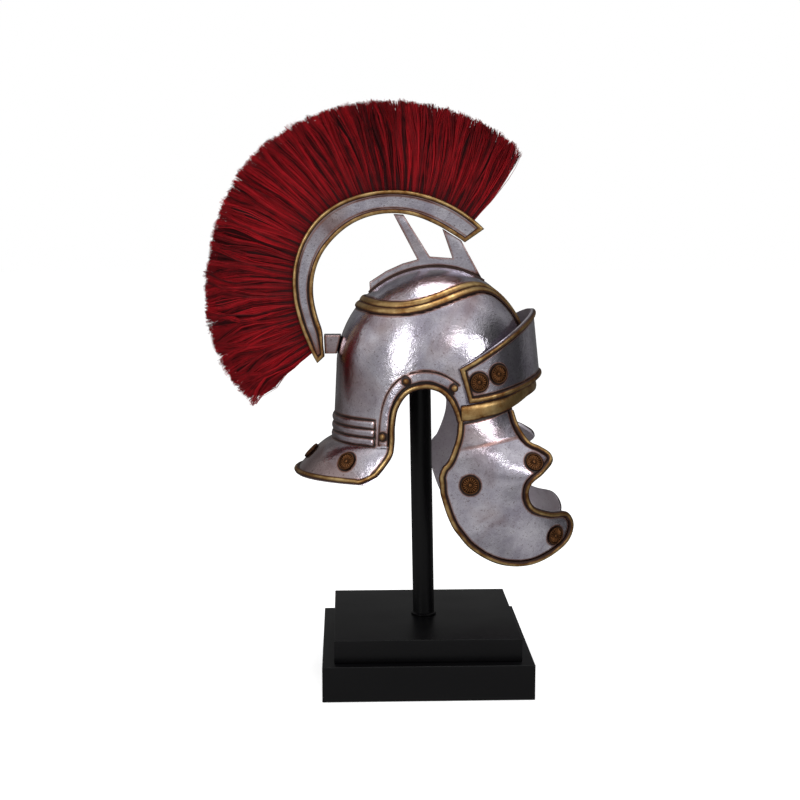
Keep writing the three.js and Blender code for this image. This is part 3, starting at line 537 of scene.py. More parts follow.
# Gold borders. Half-round beads and ribs cast with the bowl, painted gold and rubbed, so that the crown of
# each bead shines and brown glaze stays at its two feet. The attribute foot_mm is the distance from a foot.
gold, tree, surface, place = start_material("rubbed_gold_paint")
patches, pits = noise(tree, place, 55, 5, Roughness=0.6), noise(tree, place, 300, 3)
golden = blend(tree, ranged(tree, patches, 0.34, 0.66), "#80592f", "#d0b17a")
ragged = maths(tree, "ADD", attribute(tree, "foot_mm"), maths(tree, "MULTIPLY_ADD", patches, 2.2, -1.1))
copper, glaze = ranged(tree, ragged, 2.7, 1.1, 0, 0.88), ranged(tree, ragged, 1.2, 0.7)
rough = ranged(tree, patches, 0.3, 0.7, 0.42, 0.28)
feed(tree, surface, {
    "Base Color": blend(tree, glaze, blend(tree, copper, golden, "#5c3018"), "#2e170d"),
    "Metallic": ranged(tree, glaze, 0, 1, 1, 0.4), "Roughness": maths(tree, "MULTIPLY_ADD", copper, 0.2, rough),
    "Normal": bump(tree, pits, 0.25, 0.0004)})
bead_turn = np.linspace(0, math.pi, 10)
bead_across, bead_rise = (1 - np.cos(bead_turn)) / 2, np.sin(bead_turn) ** 0.8


def bead_section(lift, width=bead_width, height=bead_height):
    """Half-round section whose outer foot is on the path, and each point's distance from a foot."""
    across = width * bead_across
    return np.column_stack([-across, lift + height * bead_rise]), np.minimum(across, width - across)


def gold_piece(name, rings, feet, *nodes, closed=False, sharp=60):
    """Gold piece from rings of points, whose feet are the points' distances from a foot."""
    rows, columns = rings.shape[:2]
    faces = ring_faces(rows, columns, closed=True) if closed else tube_faces(rows, columns)
    piece = make_piece(name, rings, faces, gold, {"foot_mm": np.broadcast_to(feet, (rows, columns))}, sharp)
    dress(piece, "gold_paint", *nodes)


def eased(values, count, **padding):
    """Running mean over so many values."""
    return np.convolve(np.pad(values, count // 2, **padding), np.ones(count) / count, "valid")


# Bead round the ear openings and the neck guard, in one run from cheek guard to cheek guard.
rim_points = np.vstack([arch_path[::-1][::8], guard_path[6::8]])
rim_path = smooth_line(np.vstack([rim_points, mirrored(rim_points[:-1])[::-1]]), 900)
section, feet = bead_section(gap)
gold_piece("rim_bead", sweep(rim_path, on_bowl(rim_path), section), feet, "rim_edging", sharp=50)

# Plain gold strip that covers the front rim under the brow guard.
band_start_x, band_way = 37.5, np.linspace(-1, 1, 221)
azimuth_line = math.acos((band_start_x - centre_x) / bowl_front) * band_way
path, normals = bowl_seat(azimuth_line, level_at(eased(rim_z(azimuth_line), 25, mode="edge")))
across = unit(np.array([0.0, 0.0, 1.0]) - normals * normals[:, 2:3])
ahead = np.cos(math.pi / 2 * band_way)
width, height = 19.5 - 8.5 * ahead ** 2, 2.2 + 6 * ahead ** 2
shape = [(0, 0), (0.01, 0.7), (0.05, 1), (0.3, 1.08), (0.65, 1.05), (0.93, 0.9), (0.99, 0.5), (1, 0)]
rings = np.stack([path + across * (b * width)[:, None] + normals * (gap + t * height)[:, None] for b, t in shape], 1)
feet = np.stack([np.minimum(b, 1 - b) * width for b, _ in shape], 1)
gold_piece("front_rim_band", rings, feet, "front_rim_strip", sharp=50)

# Crown ridges. A double gold rib that starts at the back, dips along the side, rises over the temple and
# comes down to the brow guard.
u = np.linspace(-1, 1, 33)
near = np.abs(u)
rise = np.where(near < 0.5, ridge_valley + (ridge_height - ridge_valley) * np.sin(near / 0.5 * math.pi / 2) ** 0.7,
                ridge_height * np.sqrt(np.clip(1 - ((near - 0.5) / 0.5) ** 2.4, 0, 1)))
section = np.column_stack([u * ridge_width / 2, gap + rise])
feet = np.minimum((1 - near) * ridge_width / 2, near * ridge_width / 2 + 0.35)
rings = sweep(ridge_path, ridge_normals, section, ridge_narrow)
for side, turn in each_side:
    gold_piece(f"crown_rib_{side}", turn(rings), feet, f"crown_ridge_{side}")

# Ear strips. A flat silvered band round each ear opening, held by three domed brass rivets.
half, top = strip_width / 2, 2 * gap + strip_height
section = np.array([(-half, 2 * gap), (-half, 1.9), (-half + 0.7, top), (-half + 2, top + 0.15), (0, top + 0.3),
                    (half - 2, top + 0.15), (half - 0.7, top), (half, 1.9), (half, 2 * gap)])
rings = sweep(strip_path, strip_normals, section)
rivet_seats = [bowl_seat(*side_angles(x, z)) for x, z in ((-51.8, 308), (-25, 374.5), (29.5, 366.5))]
rivet_lift = strip_height + 3 * gap
strip_borders = [rings[:, [0, -1]].reshape(-1, 3), *[np.linspace(rings[i, 0], rings[i, -1], 20) for i in (0, -1)]]
strip_borders += [ring_round(p + q * (rivet_lift - 0.3), q, rivet_radius) for p, q in rivet_seats]
for side, turn in each_side:
    band = make_piece(f"ear_band_{side}", turn(rings), tube_faces(*rings.shape[:2]), leaf)
    in_leaf(band, [turn(line) for line in strip_borders], f"ear_strip_{side}")


def start_group(name, inputs):
    """Geometry Nodes group with these inputs, and the links that they give."""
    group = bpy.data.node_groups.new(name, "GeometryNodeTree")
    for label, kind in inputs.items():
        group.interface.new_socket(label, in_out="INPUT", socket_type="NodeSocket" + kind)
    group.interface.new_socket("Made", in_out="OUTPUT", socket_type="NodeSocketGeometry")
    return group, add_node(group, "NodeGroupInput", {}).outputs


def end_group(group, geometry, finish):
    """Gives what the group makes its material."""
    done = add_node(group, "GeometryNodeSetMaterial", {"Geometry": geometry, "Material": finish})
    add_node(group, "NodeGroupOutput", {0: done.outputs[0]})


def run_group(piece, group, values):
    """Runs a group on a piece, and makes the result the piece's mesh."""
    made = piece.modifiers.new(group.name, "NODES")
    made.node_group = group
    sockets = {item.name: item.identifier for item in group.interface.items_tree}
    for label, value in values.items():
        made[sockets[label]] = value
    return applied(piece)


# Sets one ornament on each point, turned to the point's facing.
ornaments, source = start_group("ornaments_on_their_seats", {
    "Seats": "Geometry", "Ornament": "Object", "Finish": "Material"})
facing = add_node(ornaments, "GeometryNodeInputNamedAttribute", {"Name": "facing"}, data_type="FLOAT_VECTOR")
turned = add_node(ornaments, "FunctionNodeAlignRotationToVector", {"Vector": facing.outputs[0]}, axis="Z")
thing = add_node(ornaments, "GeometryNodeObjectInfo", {"Object": source["Ornament"]})
placed = add_node(ornaments, "GeometryNodeInstanceOnPoints", {
    "Points": source["Seats"], "Instance": thing.outputs["Geometry"], "Rotation": turned.outputs[0]})
real = add_node(ornaments, "GeometryNodeRealizeInstances", {"Geometry": placed.outputs[0]})
end_group(ornaments, real.outputs[0], source["Finish"])


def set_ornaments(name, ornament, seats, lift, finish, slot, nodes):
    """One mesh of all the ornaments on these seats. A seat is a place and the way that it faces."""
    mesh = bpy.data.meshes.new(name)
    mesh.from_pydata([tuple((p + q * lift) / 1000) for p, q in seats], [], [])
    mesh.attributes.new("facing", "FLOAT_VECTOR", "POINT").data.foreach_set(
        "vector", np.array([q for _, q in seats], np.float32).reshape(-1))
    piece = run_group(add_object(name, mesh), ornaments, {"Ornament": ornament, "Finish": finish})
    dress(piece, slot, *nodes)


def numbered(stem, count):
    return [f"{stem}_{i}_{side}" for side in ("right", "left") for i in range(1, count + 1)]


dome = [(rivet_radius * math.cos(a), 2.8 * math.sin(a)) for a in np.linspace(0.12, 1.45, 8)]
rivet = lathe("rivet", [(0, 0), (rivet_radius, 0), *dome, (0, 2.8)], 24, gold)
reach = np.array([math.hypot(v.co.x, v.co.y) * 1000 for v in rivet.data.vertices])
write_values(rivet.data, "foot_mm", 0.55 * (rivet_radius + 0.6 - reach))
set_ornaments("rivets", rivet, both_sides(rivet_seats), rivet_lift, gold, "gold_paint", numbered("rivet", 3))
bpy.data.objects.remove(rivet)

# Rosettes. Cast bronze-coloured roundels with a raised rim, eighteen narrow petals and a small boss, in a
# dull dark finish with the petals' ridges rubbed bright. One petal is drawn and turned round the middle.
petals, rosette_height = 18, 2.4
bronze, tree, surface, place = start_material("dark_patinated_bronze")
worn = maths(tree, "MULTIPLY_ADD", noise(tree, place, 180, 4), 0.5, attribute(tree, "hollow"))
depth = ranged(tree, worn, 0.3, 0.85)
feed(tree, surface, {"Base Color": blend(tree, depth, "#7d5230", "#1c0d07"), "Metallic": 0.9,
                     "Roughness": ranged(tree, depth, 0, 1, 0.36, 0.6)})

# Rows of points across one petal: distance from the middle, height, and how hollow.
turns = np.linspace(-1, 1, 9)
rows = [(0.4, 2.2, 0.15), (1.4, 2.0, 0.15), (2.2, 1.3, 0.6)]
for r in (2.6, 3.2, 4.4, 5.8, 7.2, 8.2, 8.8, 9.1, 9.4, 9.9, 10.4, 10.7, 10.8):
    envelope = math.sin(math.pi * min((r - 2.2) / 6.9, 1)) ** 0.5 if r < 8.9 else 0
    rim_up = math.sqrt(max(1 - ((r - 9.9) / 0.95) ** 2, 0)) if r >= 8.9 else 0
    ridge_up = envelope * np.maximum(1 - np.abs(turns) ** 1.6, 0)
    rows.append((r, 0.7 + 1.3 * ridge_up + (rosette_height - 0.7) * rim_up,
                 0.62 * (1 - np.maximum(ridge_up, 0.45 * rim_up))))
rows += [(10.8, 0, 0.6), (0.4, 0, 0.6)]
wedge = turns * math.pi / petals
grid = [side_line(r * np.cos(wedge), r * np.sin(wedge), z) for r, z, _ in rows]
hollows = [np.broadcast_to(hollow, 9) for _, _, hollow in rows]
faces = [[i * 9 + j, i * 9 + j + 9, i * 9 + j + 10, i * 9 + j + 1] for i in range(len(rows) - 1) for j in range(8)]
petal = make_piece("petal", grid, faces, bronze, {"hollow": hollows}, sharp=70)

# Turns one wedge round the upright axis as many times as there are petals, and welds the seams.
roundel, source = start_group("petals_round_the_boss", {
    "Wedge": "Geometry", "Petals": "Int", "Weld": "Float", "Finish": "Material"})
spots = add_node(roundel, "GeometryNodeMeshLine", {"Count": source["Petals"], "Offset": (0, 0, 0)})
step = maths(roundel, "DIVIDE", 2 * math.pi, source["Petals"])
angle = maths(roundel, "MULTIPLY", add_node(roundel, "GeometryNodeInputIndex", {}).outputs[0], step)
placed = add_node(roundel, "GeometryNodeInstanceOnPoints", {
    "Points": spots.outputs[0], "Instance": source["Wedge"],
    "Rotation": add_node(roundel, "ShaderNodeCombineXYZ", {"Z": angle}).outputs[0]})
real = add_node(roundel, "GeometryNodeRealizeInstances", {"Geometry": placed.outputs[0]})
welded = add_node(roundel, "GeometryNodeMergeByDistance", {"Geometry": real.outputs[0], "Distance": source["Weld"]})
end_group(roundel, welded.outputs[0], source["Finish"])
rosette = run_group(petal, roundel, {"Petals": petals, "Weld": 0.00002, "Finish": bronze})
rosette.data.shade_smooth()
set_ornaments("neck_guard_rosettes", rosette, guard_seats, gap, bronze, "dark_bronze",
              [f"guard_rosette_{i}" for i in (1, 2, 3)])

# Brow guard. A plate that stands up round the forehead and leans out at the foot, its ends on the bowl's
# sides. The field is silver leaf inside a gold bead, and the back of the plate is duller, like the lining.
brow_centre, brow_front, brow_lean, lean_z, brow_half, brow_wall = 30, 107.5, 0.11, 400, 98.6, 3
top_x, top_z, top_slope, top_rise = 35, 389, 0.55, 0.0009
low_x, low_z, low_slope, low_rise, brow_bead, bead_end = 46, 348, 0.09, 0.0017, 2.6, 0.019


def brow_reach(z):
    """Half length of the plate's oval at a level."""
    return brow_front + brow_lean * (lean_z - z)


def brow_point(azimuth, z, inset=0.0):
    front = brow_reach(z) - inset
    return np.stack([brow_centre + front * np.cos(azimuth), (brow_half - inset) * np.sin(azimuth), z], -1)


def brow_station(share, up):
    """Azimuth and height of a place on the plate, from its foot to its top edge."""
    low_end = math.acos((low_x - brow_centre) / brow_front)
    top_end = math.acos((top_x - brow_centre) / brow_front)
    azimuth = (low_end + (top_end - low_end) * up) * (2 * share - 1)
    low = np.full(np.shape(azimuth), float(lean_z))
    high = low.copy()
    for _ in range(8):
        low = rising(brow_point(azimuth, low)[..., 0], low_x, low_z, low_slope, low_rise)
        high = rising(brow_point(azimuth, high)[..., 0], top_x, top_z, top_slope, top_rise)
    return azimuth, low + (high - low) * up


def brow_normal(azimuth, z):
    ahead = np.cos(azimuth) / brow_reach(z)
    return unit(np.stack([ahead, np.sin(azimuth) / brow_half, brow_lean * ahead], -1))


rows, levels = 260, 28
share, up = np.meshgrid(np.linspace(0, 1, rows), np.linspace(0, 1, levels), indexing="ij")
azimuth_of, z_of = brow_station(share, up)
outer, inner = brow_point(azimuth_of, z_of), brow_point(azimuth_of, z_of, brow_wall)
rings = np.concatenate([outer, inner[:, ::-1]], 1)
plate = make_piece("brow_plate", rings, tube_faces(rows, 2 * levels), leaf)

loop = [(t, 0.0) for t in np.linspace(0, 1, 261)] + [(1.0, t) for t in np.linspace(0, 1, 19)[1:-1]]
loop += [(t, 1.0) for t in np.linspace(1, 0, 261)] + [(0.0, t) for t in np.linspace(1, 0, 19)[1:-1]]
loop = np.array(loop)
high = brow_point(*brow_station(loop[:, 0], np.ones(len(loop))))
low = brow_point(*brow_station(loop[:, 0], np.zeros(len(loop))))
rim_share = bead_width / np.linalg.norm(high - low, axis=1)
outer_at = brow_station(loop[:, 0], loop[:, 1])
inner_at = brow_station(np.clip(loop[:, 0], bead_end, 1 - bead_end), np.clip(loop[:, 1], rim_share, 1 - rim_share))
outer_line, inner_line = brow_point(*outer_at), brow_point(*inner_at)
outward = brow_normal(*outer_at)
rings = (outer_line[:, None] + (inner_line - outer_line)[:, None] * bead_across[None, :, None]
         + outward[:, None] * (gap + brow_bead * bead_rise)[None, :, None])
width = np.linalg.norm(inner_line - outer_line, axis=1)
feet = np.minimum(bead_across, 1 - bead_across)[None] * width[:, None]
gold_piece("brow_bead", rings, feet, "brow_edging", closed=True)

brow_seats = []
for x, z in ((58.5, 373.0), (82, 381.5)):
    a = -math.acos((x - brow_centre) / brow_reach(z))
    brow_seats.append((brow_point(a, z), brow_normal(a, z)))
ring_edges = [ring_round(p, q, rosette_radius + 0.6) for p, q in both_sides(brow_seats)]


def behind_brow(points):
    along = (points[:, 0] - brow_centre) / brow_reach(points[:, 2])
    return (np.hypot(along, points[:, 1] / brow_half) < well_inside).astype(float)


in_leaf(plate, [inner_line, *ring_edges], "brow_guard", inside=behind_brow)
set_ornaments("brow_rosettes", rosette, both_sides(brow_seats), gap, bronze, "dark_bronze",
              numbered("brow_rosette", 2))

# Cheek guards. Plates cast in one with the rim, bulging over the cheek below a crease and pulled in at the
# mouth and the eye. A gold bead runs round each from the ear opening to the front rim.
cheek_sections = [
    (34, 325.5, 101, 338), (33, 313, 106, 320), (30, 301, 112, 309), (22, 281, 120, 299.5), (16, 274, 131, 294),
    (13, 267, 144, 285), (12, 262, 146, 277), (13, 253, 134, 265.5), (14, 243, 119.5, 255),
    (16.5, 234, 117, 243), (21, 220, 124, 225.5), (25, 210, 146, 215), (30, 200, 168, 211),
    (37, 190.5, 177, 195), (48, 177, 172, 176), (71, 160, 154, 161.5), (95, 151, 124, 150),
]
# How far out the plate stands, at four places forward from the first, for levels from the lowest up.
depth_from_x, depth_step_x, depth_from_z, depth_step_z = 10, 55, 125, 35
cheek_depths = np.array([
    (58, 64, 56, 30), (76, 82, 74, 44), (90, 95, 84, 50), (96, 102, 92, 50),
    (100, 105, 104, 52), (99.5, 97.5, 80, 38), (98.5, 88, 48, -30), (98, 80, 20, -90),
], float)
crease_start, crease_end = (42.4, 295.9), (104, 305.8)


def curve_between(a, b, c, d, t):
    """Catmull-Rom curve from b to c."""
    return 0.5 * (2 * b + (c - a) * t + (2 * a - 5 * b + 4 * c - d) * t ** 2 + (3 * b - a - 3 * c + d) * t ** 3)


def cheek_depth(x, z):
    row = (z - depth_from_z) / depth_step_z
    index = np.clip(np.floor(row).astype(int), 0, len(cheek_depths) - 2)
    t = (row - index)[..., None]
    a, b, c, d = [cheek_depths[np.clip(index + k, 0, len(cheek_depths) - 1)] for k in (-1, 0, 1, 2)]
    at = curve_between(a, b, c, d, t)
    s = (x - depth_from_x) / depth_step_x
    first, second, third = at[..., 1] - at[..., 0], at[..., 2] - at[..., 1], at[..., 3] - at[..., 2]
    bend = second - first
    return at[..., 0] + first * s + bend * s * (s - 1) / 2 + (third - second - bend) * s * (s - 1) * (s - 2) / 6


def cheek_place(x, z):
    slope_x = cheek_depth(x + 0.5, z) - cheek_depth(x - 0.5, z)
    slope_z = cheek_depth(x, z + 0.5) - cheek_depth(x, z - 0.5)
    normal = unit(np.stack([-slope_x, -np.ones(np.shape(x)), -slope_z], -1))
    return np.stack([x, -cheek_depth(x, z), z], -1), normal


def below_crease(x, z):
    """Millimetres below the crease line, less than 0 above it."""
    share = (x - crease_start[0]) / (crease_end[0] - crease_start[0])
    return crease_start[1] + (crease_end[1] - crease_start[1]) * share - z


sections = np.array(cheek_sections, float)
fine = []
for i in range(len(sections) - 1):
    a, b, c, d = [sections[min(max(i + k, 0), len(sections) - 1)] for k in (-1, 0, 1, 2)]
    for t in np.linspace(0, 1, 9 if i else 13)[:-1]:
        fine.append(curve_between(a, b, c, d, t))
fine = np.array(fine + [sections[-1]])
stations = 90
share = np.linspace(0, 1, stations)[None]
x_of = fine[:, 0:1] + (fine[:, 2:3] - fine[:, 0:1]) * share
z_of = fine[:, 1:2] + (fine[:, 3:4] - fine[:, 1:2]) * share
z_of[0] = front_rim_z(x_of[0]) - 2.5 * gap
places, normals = cheek_place(x_of, z_of)
down = below_crease(x_of, z_of)
relief = 1.3 * smoothstep(down, 0, 12) * (1 - smoothstep(down, 16, 60)) - 0.5 * np.exp(-(down / 1.3) ** 2)
outer = places + normals * relief[..., None]
inner = places - normals * wall
rings = np.concatenate([outer, inner[:, ::-1]], 1)

front_line = np.column_stack([sections[:, 2], sections[:, 3]])
rear_line = np.column_stack([sections[:, 0], sections[:, 1]])[::-1]
front_line[0, 1] -= 3
rear_line[-1, 1] += 3
bead_line = smooth_line(np.vstack([front_line, rear_line]), 640)
bead_path, bead_normals = cheek_place(bead_line[:, 0], bead_line[:, 1])
section, feet = bead_section(2.5 * gap)
bead_rings = sweep(bead_path, bead_normals, section)
cheek_seats = [cheek_place(np.array(x), np.array(z)) for x, z in ((48.7, 253.2), (123.5, 278.5), (154.4, 183.4))]
crease_x = np.linspace(30, 112, 200)
crease_line, crease_normals = cheek_place(crease_x, below_crease(crease_x, 0))
top_x_line = np.linspace(34, 101, 120)
top_line, _ = cheek_place(top_x_line, front_rim_z(top_x_line) - 1)
cheek_edges = [bead_rings[:, -1], crease_line + crease_normals * 1.9, top_line]
cheek_edges += [ring_round(p, q, rosette_radius + 0.6) for p, q in cheek_seats]


def inside_cheek(points):
    depth = cheek_depth(points[:, 0], points[:, 2])
    return (np.abs(points[:, 1]) < depth - 1.6).astype(float)


for side, turn in each_side:
    guard = make_piece(f"cheek_plate_{side}", turn(rings), tube_faces(len(rings), 2 * stations), leaf)
    in_leaf(guard, [turn(line) for line in cheek_edges], f"cheek_guard_{side}", inside=inside_cheek)
    gold_piece(f"cheek_bead_{side}", turn(bead_rings), feet, f"cheek_edging_{side}")
set_ornaments("cheek_rosettes", rosette, both_sides(cheek_seats), gap, bronze, "dark_bronze",
              numbered("cheek_rosette", 3))
bpy.data.objects.remove(rosette)

# Crest holder. A curved box beam with a sunk silver panel on each side between two gold borders. It stands
# on a saddle plate with two struts, and a short stay joins its lower end to the back of the bowl.
crest_x, crest_z, core_half, border_half, border_width = -40, 470, 10, 13, 5.5
crest_spokes = np.array([
    (34.8, 107.5, 135.5, 230), (45, 101.5, 131.5, 231), (60, 97.5, 127, 231), (75, 96.5, 124.5, 229),
    (90, 96, 123.5, 229), (105, 96, 124, 231), (120, 96, 126, 232), (135, 95.5, 127, 234),
    (150, 96, 125, 229.5), (165, 95.5, 122, 225), (180, 94.5, 118.5, 224.5), (195, 93.5, 116.3, 224.5),
    (210, 95, 117.5, 220.5), (223, 111, 123, 212),
])
inner_key, outer_key, hair_key = 1, 2, 3


def spoke(key, angle):
    return np.interp(angle, crest_spokes[:, 0], crest_spokes[:, key])


def crest_point(angle, radius, y=0.0):
    turn = np.radians(angle)
    return np.stack(np.broadcast_arrays(crest_x + radius * np.cos(turn), y, crest_z + radius * np.sin(turn)), -1)


def crest_outline(inset, steps=150):
    lean = inset * 0.5
    angle = np.linspace(crest_spokes[0, 0] + lean, crest_spokes[-1, 0] - lean, steps)
    outer, inner = [eased(spoke(key, angle), 9, mode="reflect", reflect_type="odd") for key in (outer_key, inner_key)]
    return np.vstack([crest_point(angle, outer - inset), crest_point(angle, inner + inset)[::-1]])


def at_depth(line, y):
    return side_line(line[:, 0], y, line[:, 2])


def split(piece, times):
    """Splits the faces, so that the leaf's border distance is read often enough."""
    finer = piece.modifiers.new("finer faces", "SUBSURF")
    finer.subdivision_type, finer.levels, finer.render_levels = "SIMPLE", times, times
    return applied(piece)


rim_line, panel_line = crest_outline(0), crest_outline(border_width)
count = len(rim_line)
rings = np.stack([at_depth(rim_line, -core_half), at_depth(rim_line, core_half)])
beam_faces = ring_faces(2, count)
beam_faces += [[i, i + 1, count - 2 - i, count - 1 - i] for i in range(count // 2 - 1)]
beam_faces += [[count + i, 2 * count - 1 - i, 2 * count - 2 - i, count + i + 1] for i in range(count // 2 - 1)]
beam = split(make_piece("crest_beam", rings, beam_faces, leaf), 2)
panel_lines = (panel_line, smooth_line(panel_line, 900))
panel_edges = [at_depth(line, y) for line in panel_lines for y in (-core_half, core_half)]
in_leaf(beam, panel_edges, "crest_channel")

way = np.linspace(0, 1, 11)
rise = (border_half - core_half) * np.clip(np.sin(way * math.pi), 0, 1) ** 0.45
for side, sign in (("right", -1), ("left", 1)):
    rings = np.stack([at_depth(rim_line, 0) * (1 - t) + at_depth(panel_line, 0) * t
                      + np.array([0, sign * (core_half + up), 0]) for t, up in zip(way, rise)], 1)
    gold_piece(f"crest_frame_{side}", rings, np.where(way < 0.5, 3, (1 - way) * border_width),
               f"crest_border_{side}", closed=True)


def crest_underside(x):
    angle = np.linspace(crest_spokes[0, 0], crest_spokes[-1, 0], 3000)
    line = crest_point(angle, spoke(inner_key, angle))
    line = line[line[:, 2] > crest_z + 20]
    return np.interp(x, line[::-1, 0], line[::-1, 2]) - 2.5 * gap


saddle_top = [(44, None), (32, None), (21.5, None), (34, 512), (6.5, 514), (-25.5, None), (-37.5, None),
              (-8.5, 510.5), (-26.5, 505.5), (-46.5, 496.5), (-66.5, 483.5)]
foot_line = [(x, z + gap) for x, z in zip(saddle_x[::6], saddle_foot_z[::6])]
saddle_line = foot_line + [(x, crest_underside(x) if z is None else z) for x, z in saddle_top]


def plate_across(name, line, half, times):
    """Plate made from a side view, with its edges eased and its faces split."""
    piece = prism(name, line, half)
    soften = piece.modifiers.new("eased edges", "BEVEL")
    soften.width, soften.segments, soften.limit_method = 0.001, 3, "ANGLE"
    soften.angle_limit = math.radians(30)
    applied(piece).modifiers.new("triangles", "TRIANGULATE")
    return split(piece, times)


def outline_of(line, half):
    """The side view's outline on both faces, in points a millimetre or so apart."""
    ring = np.array(list(line) + [line[0]], float)
    flat = np.vstack([np.linspace(a, b, 24) for a, b in zip(ring[:-1], ring[1:])])
    return [side_line(flat[:, 0], y, flat[:, 1]) for y in (-half, half)]


saddle = plate_across("crest_saddle_plate", saddle_line, saddle_half, 2)
saddle_foot = [side_line(saddle_x, y, saddle_foot_z + gap) for y in (-saddle_half, saddle_half)]
in_leaf(saddle, saddle_foot + outline_of(saddle_line, saddle_half + 1.9), "crest_saddle")

# A thin fillet of gold paint where the saddle stands on the bowl.
fillet_x = np.linspace(saddle_x[0] - 1, saddle_x[-1] + 1, 180)
path = side_line(fillet_x, -saddle_half + 0.5, crown_z(fillet_x))
section, feet = bead_section(-0.2, width=3.0, height=1.7)
rings = sweep(path, on_bowl(path), section)
for side, turn in each_side:
    gold_piece(f"saddle_fillet_{side}", turn(rings), feet * 0.6)

stay_low, stay_high, stay_half = 398, 420, 13
upper, lower = [crest_point(a, spoke(inner_key, a)) for a in (210, 223)]
bowl_x = [bowl_point(math.pi, level_at(z))[0] for z in (stay_low, stay_high)]
beam_x = [lower[0] + (upper[0] - lower[0]) * (z - lower[2]) / (upper[2] - lower[2]) for z in (stay_low, stay_high)]
stay_line = [(beam_x[0] + gap, stay_low), (bowl_x[0] - gap, stay_low), (bowl_x[1] - gap, stay_high),
             (beam_x[1] + gap, stay_high)]
stay = plate_across("crest_rear_stay", stay_line, stay_half, 3)
stay_ends = ((stay_line[1], stay_line[2]), (stay_line[3], stay_line[0]))
stay_edges = [side_line(np.linspace(a[0], b[0], 40), y, np.linspace(a[1], b[1], 40))
              for a, b in stay_ends for y in (-stay_half, stay_half)]
in_leaf(stay, stay_edges + outline_of(stay_line, stay_half + 2.2), "rear_stay")

# Crest hair. Dyed bristle bound in small bundles along the beam, brushed out into a fan and clipped to a
# round. Each strand is drawn thicker than a real hair so that it shows. Between bundles the roots part
# and show dark, in painted shade on the darkened roots and on the dark filler sheet inside, and toward
# the tips the strands spread and cross.
lean_front, tip_front, lean_back, tip_back = 40.5, 48.3, 217.5, 216.4
sectors, bundles_per_sector, strands_per_bundle, strand_points = 9, 3, 490, 7
root_half, middle_half, tip_half, strand_radius = 7, 15, 18, 0.4

hair, tree, surface, place = start_material("dyed_bristle")
# The shade value holds each strand's own tone together with the painted sheen and shade bands, and noise streaks go
# on top.
streaks_and_sheen = maths(tree, "MULTIPLY_ADD", noise(tree, place, 90, 3), 0.5, attribute(tree, "shade"))
red = blend(tree, ranged(tree, streaks_and_sheen, 0.25, 1.15), "#330206", "#a50f1a")
# Toward the roots the red goes to near black, a painted shade for the depth of the fan.
painted_root_shade = ranged(tree, attribute(tree, "reach"), 0, 0.3, 0.5, 0)
feed(tree, surface, {"Base Color": blend(tree, painted_root_shade, red, "#2c0205"), "Roughness": 0.5,
                     "Specular IOR Level": 0.14})


def tip_angle(root_angle):
    share = (root_angle - lean_front) / (lean_back - lean_front)
    return tip_front + (tip_back - tip_front) * share


# Gives each strand a three-sided section that tapers to its tip.
bristles, source = start_group("bristles", {
    "Lines": "Geometry", "Radius": "Float", "Tip share": "Float", "Finish": "Material"})
lines = add_node(bristles, "GeometryNodeMeshToCurve", {"Mesh": source["Lines"]})
along = add_node(bristles, "GeometryNodeSplineParameter", {}).outputs["Factor"]
ring = add_node(bristles, "GeometryNodeCurvePrimitiveCircle", {"Resolution": 3, "Radius": source["Radius"]})
body = add_node(bristles, "GeometryNodeCurveToMesh", {
    "Curve": lines.outputs[0], "Profile Curve": ring.outputs[0], "Fill Caps": True,
    "Scale": ranged(bristles, along, 0.5, 1, 1, source["Tip share"])})
real = add_node(bristles, "GeometryNodeRealizeInstances", {"Geometry": body.outputs[0]})
end_group(bristles, real.outputs[0], source["Finish"])

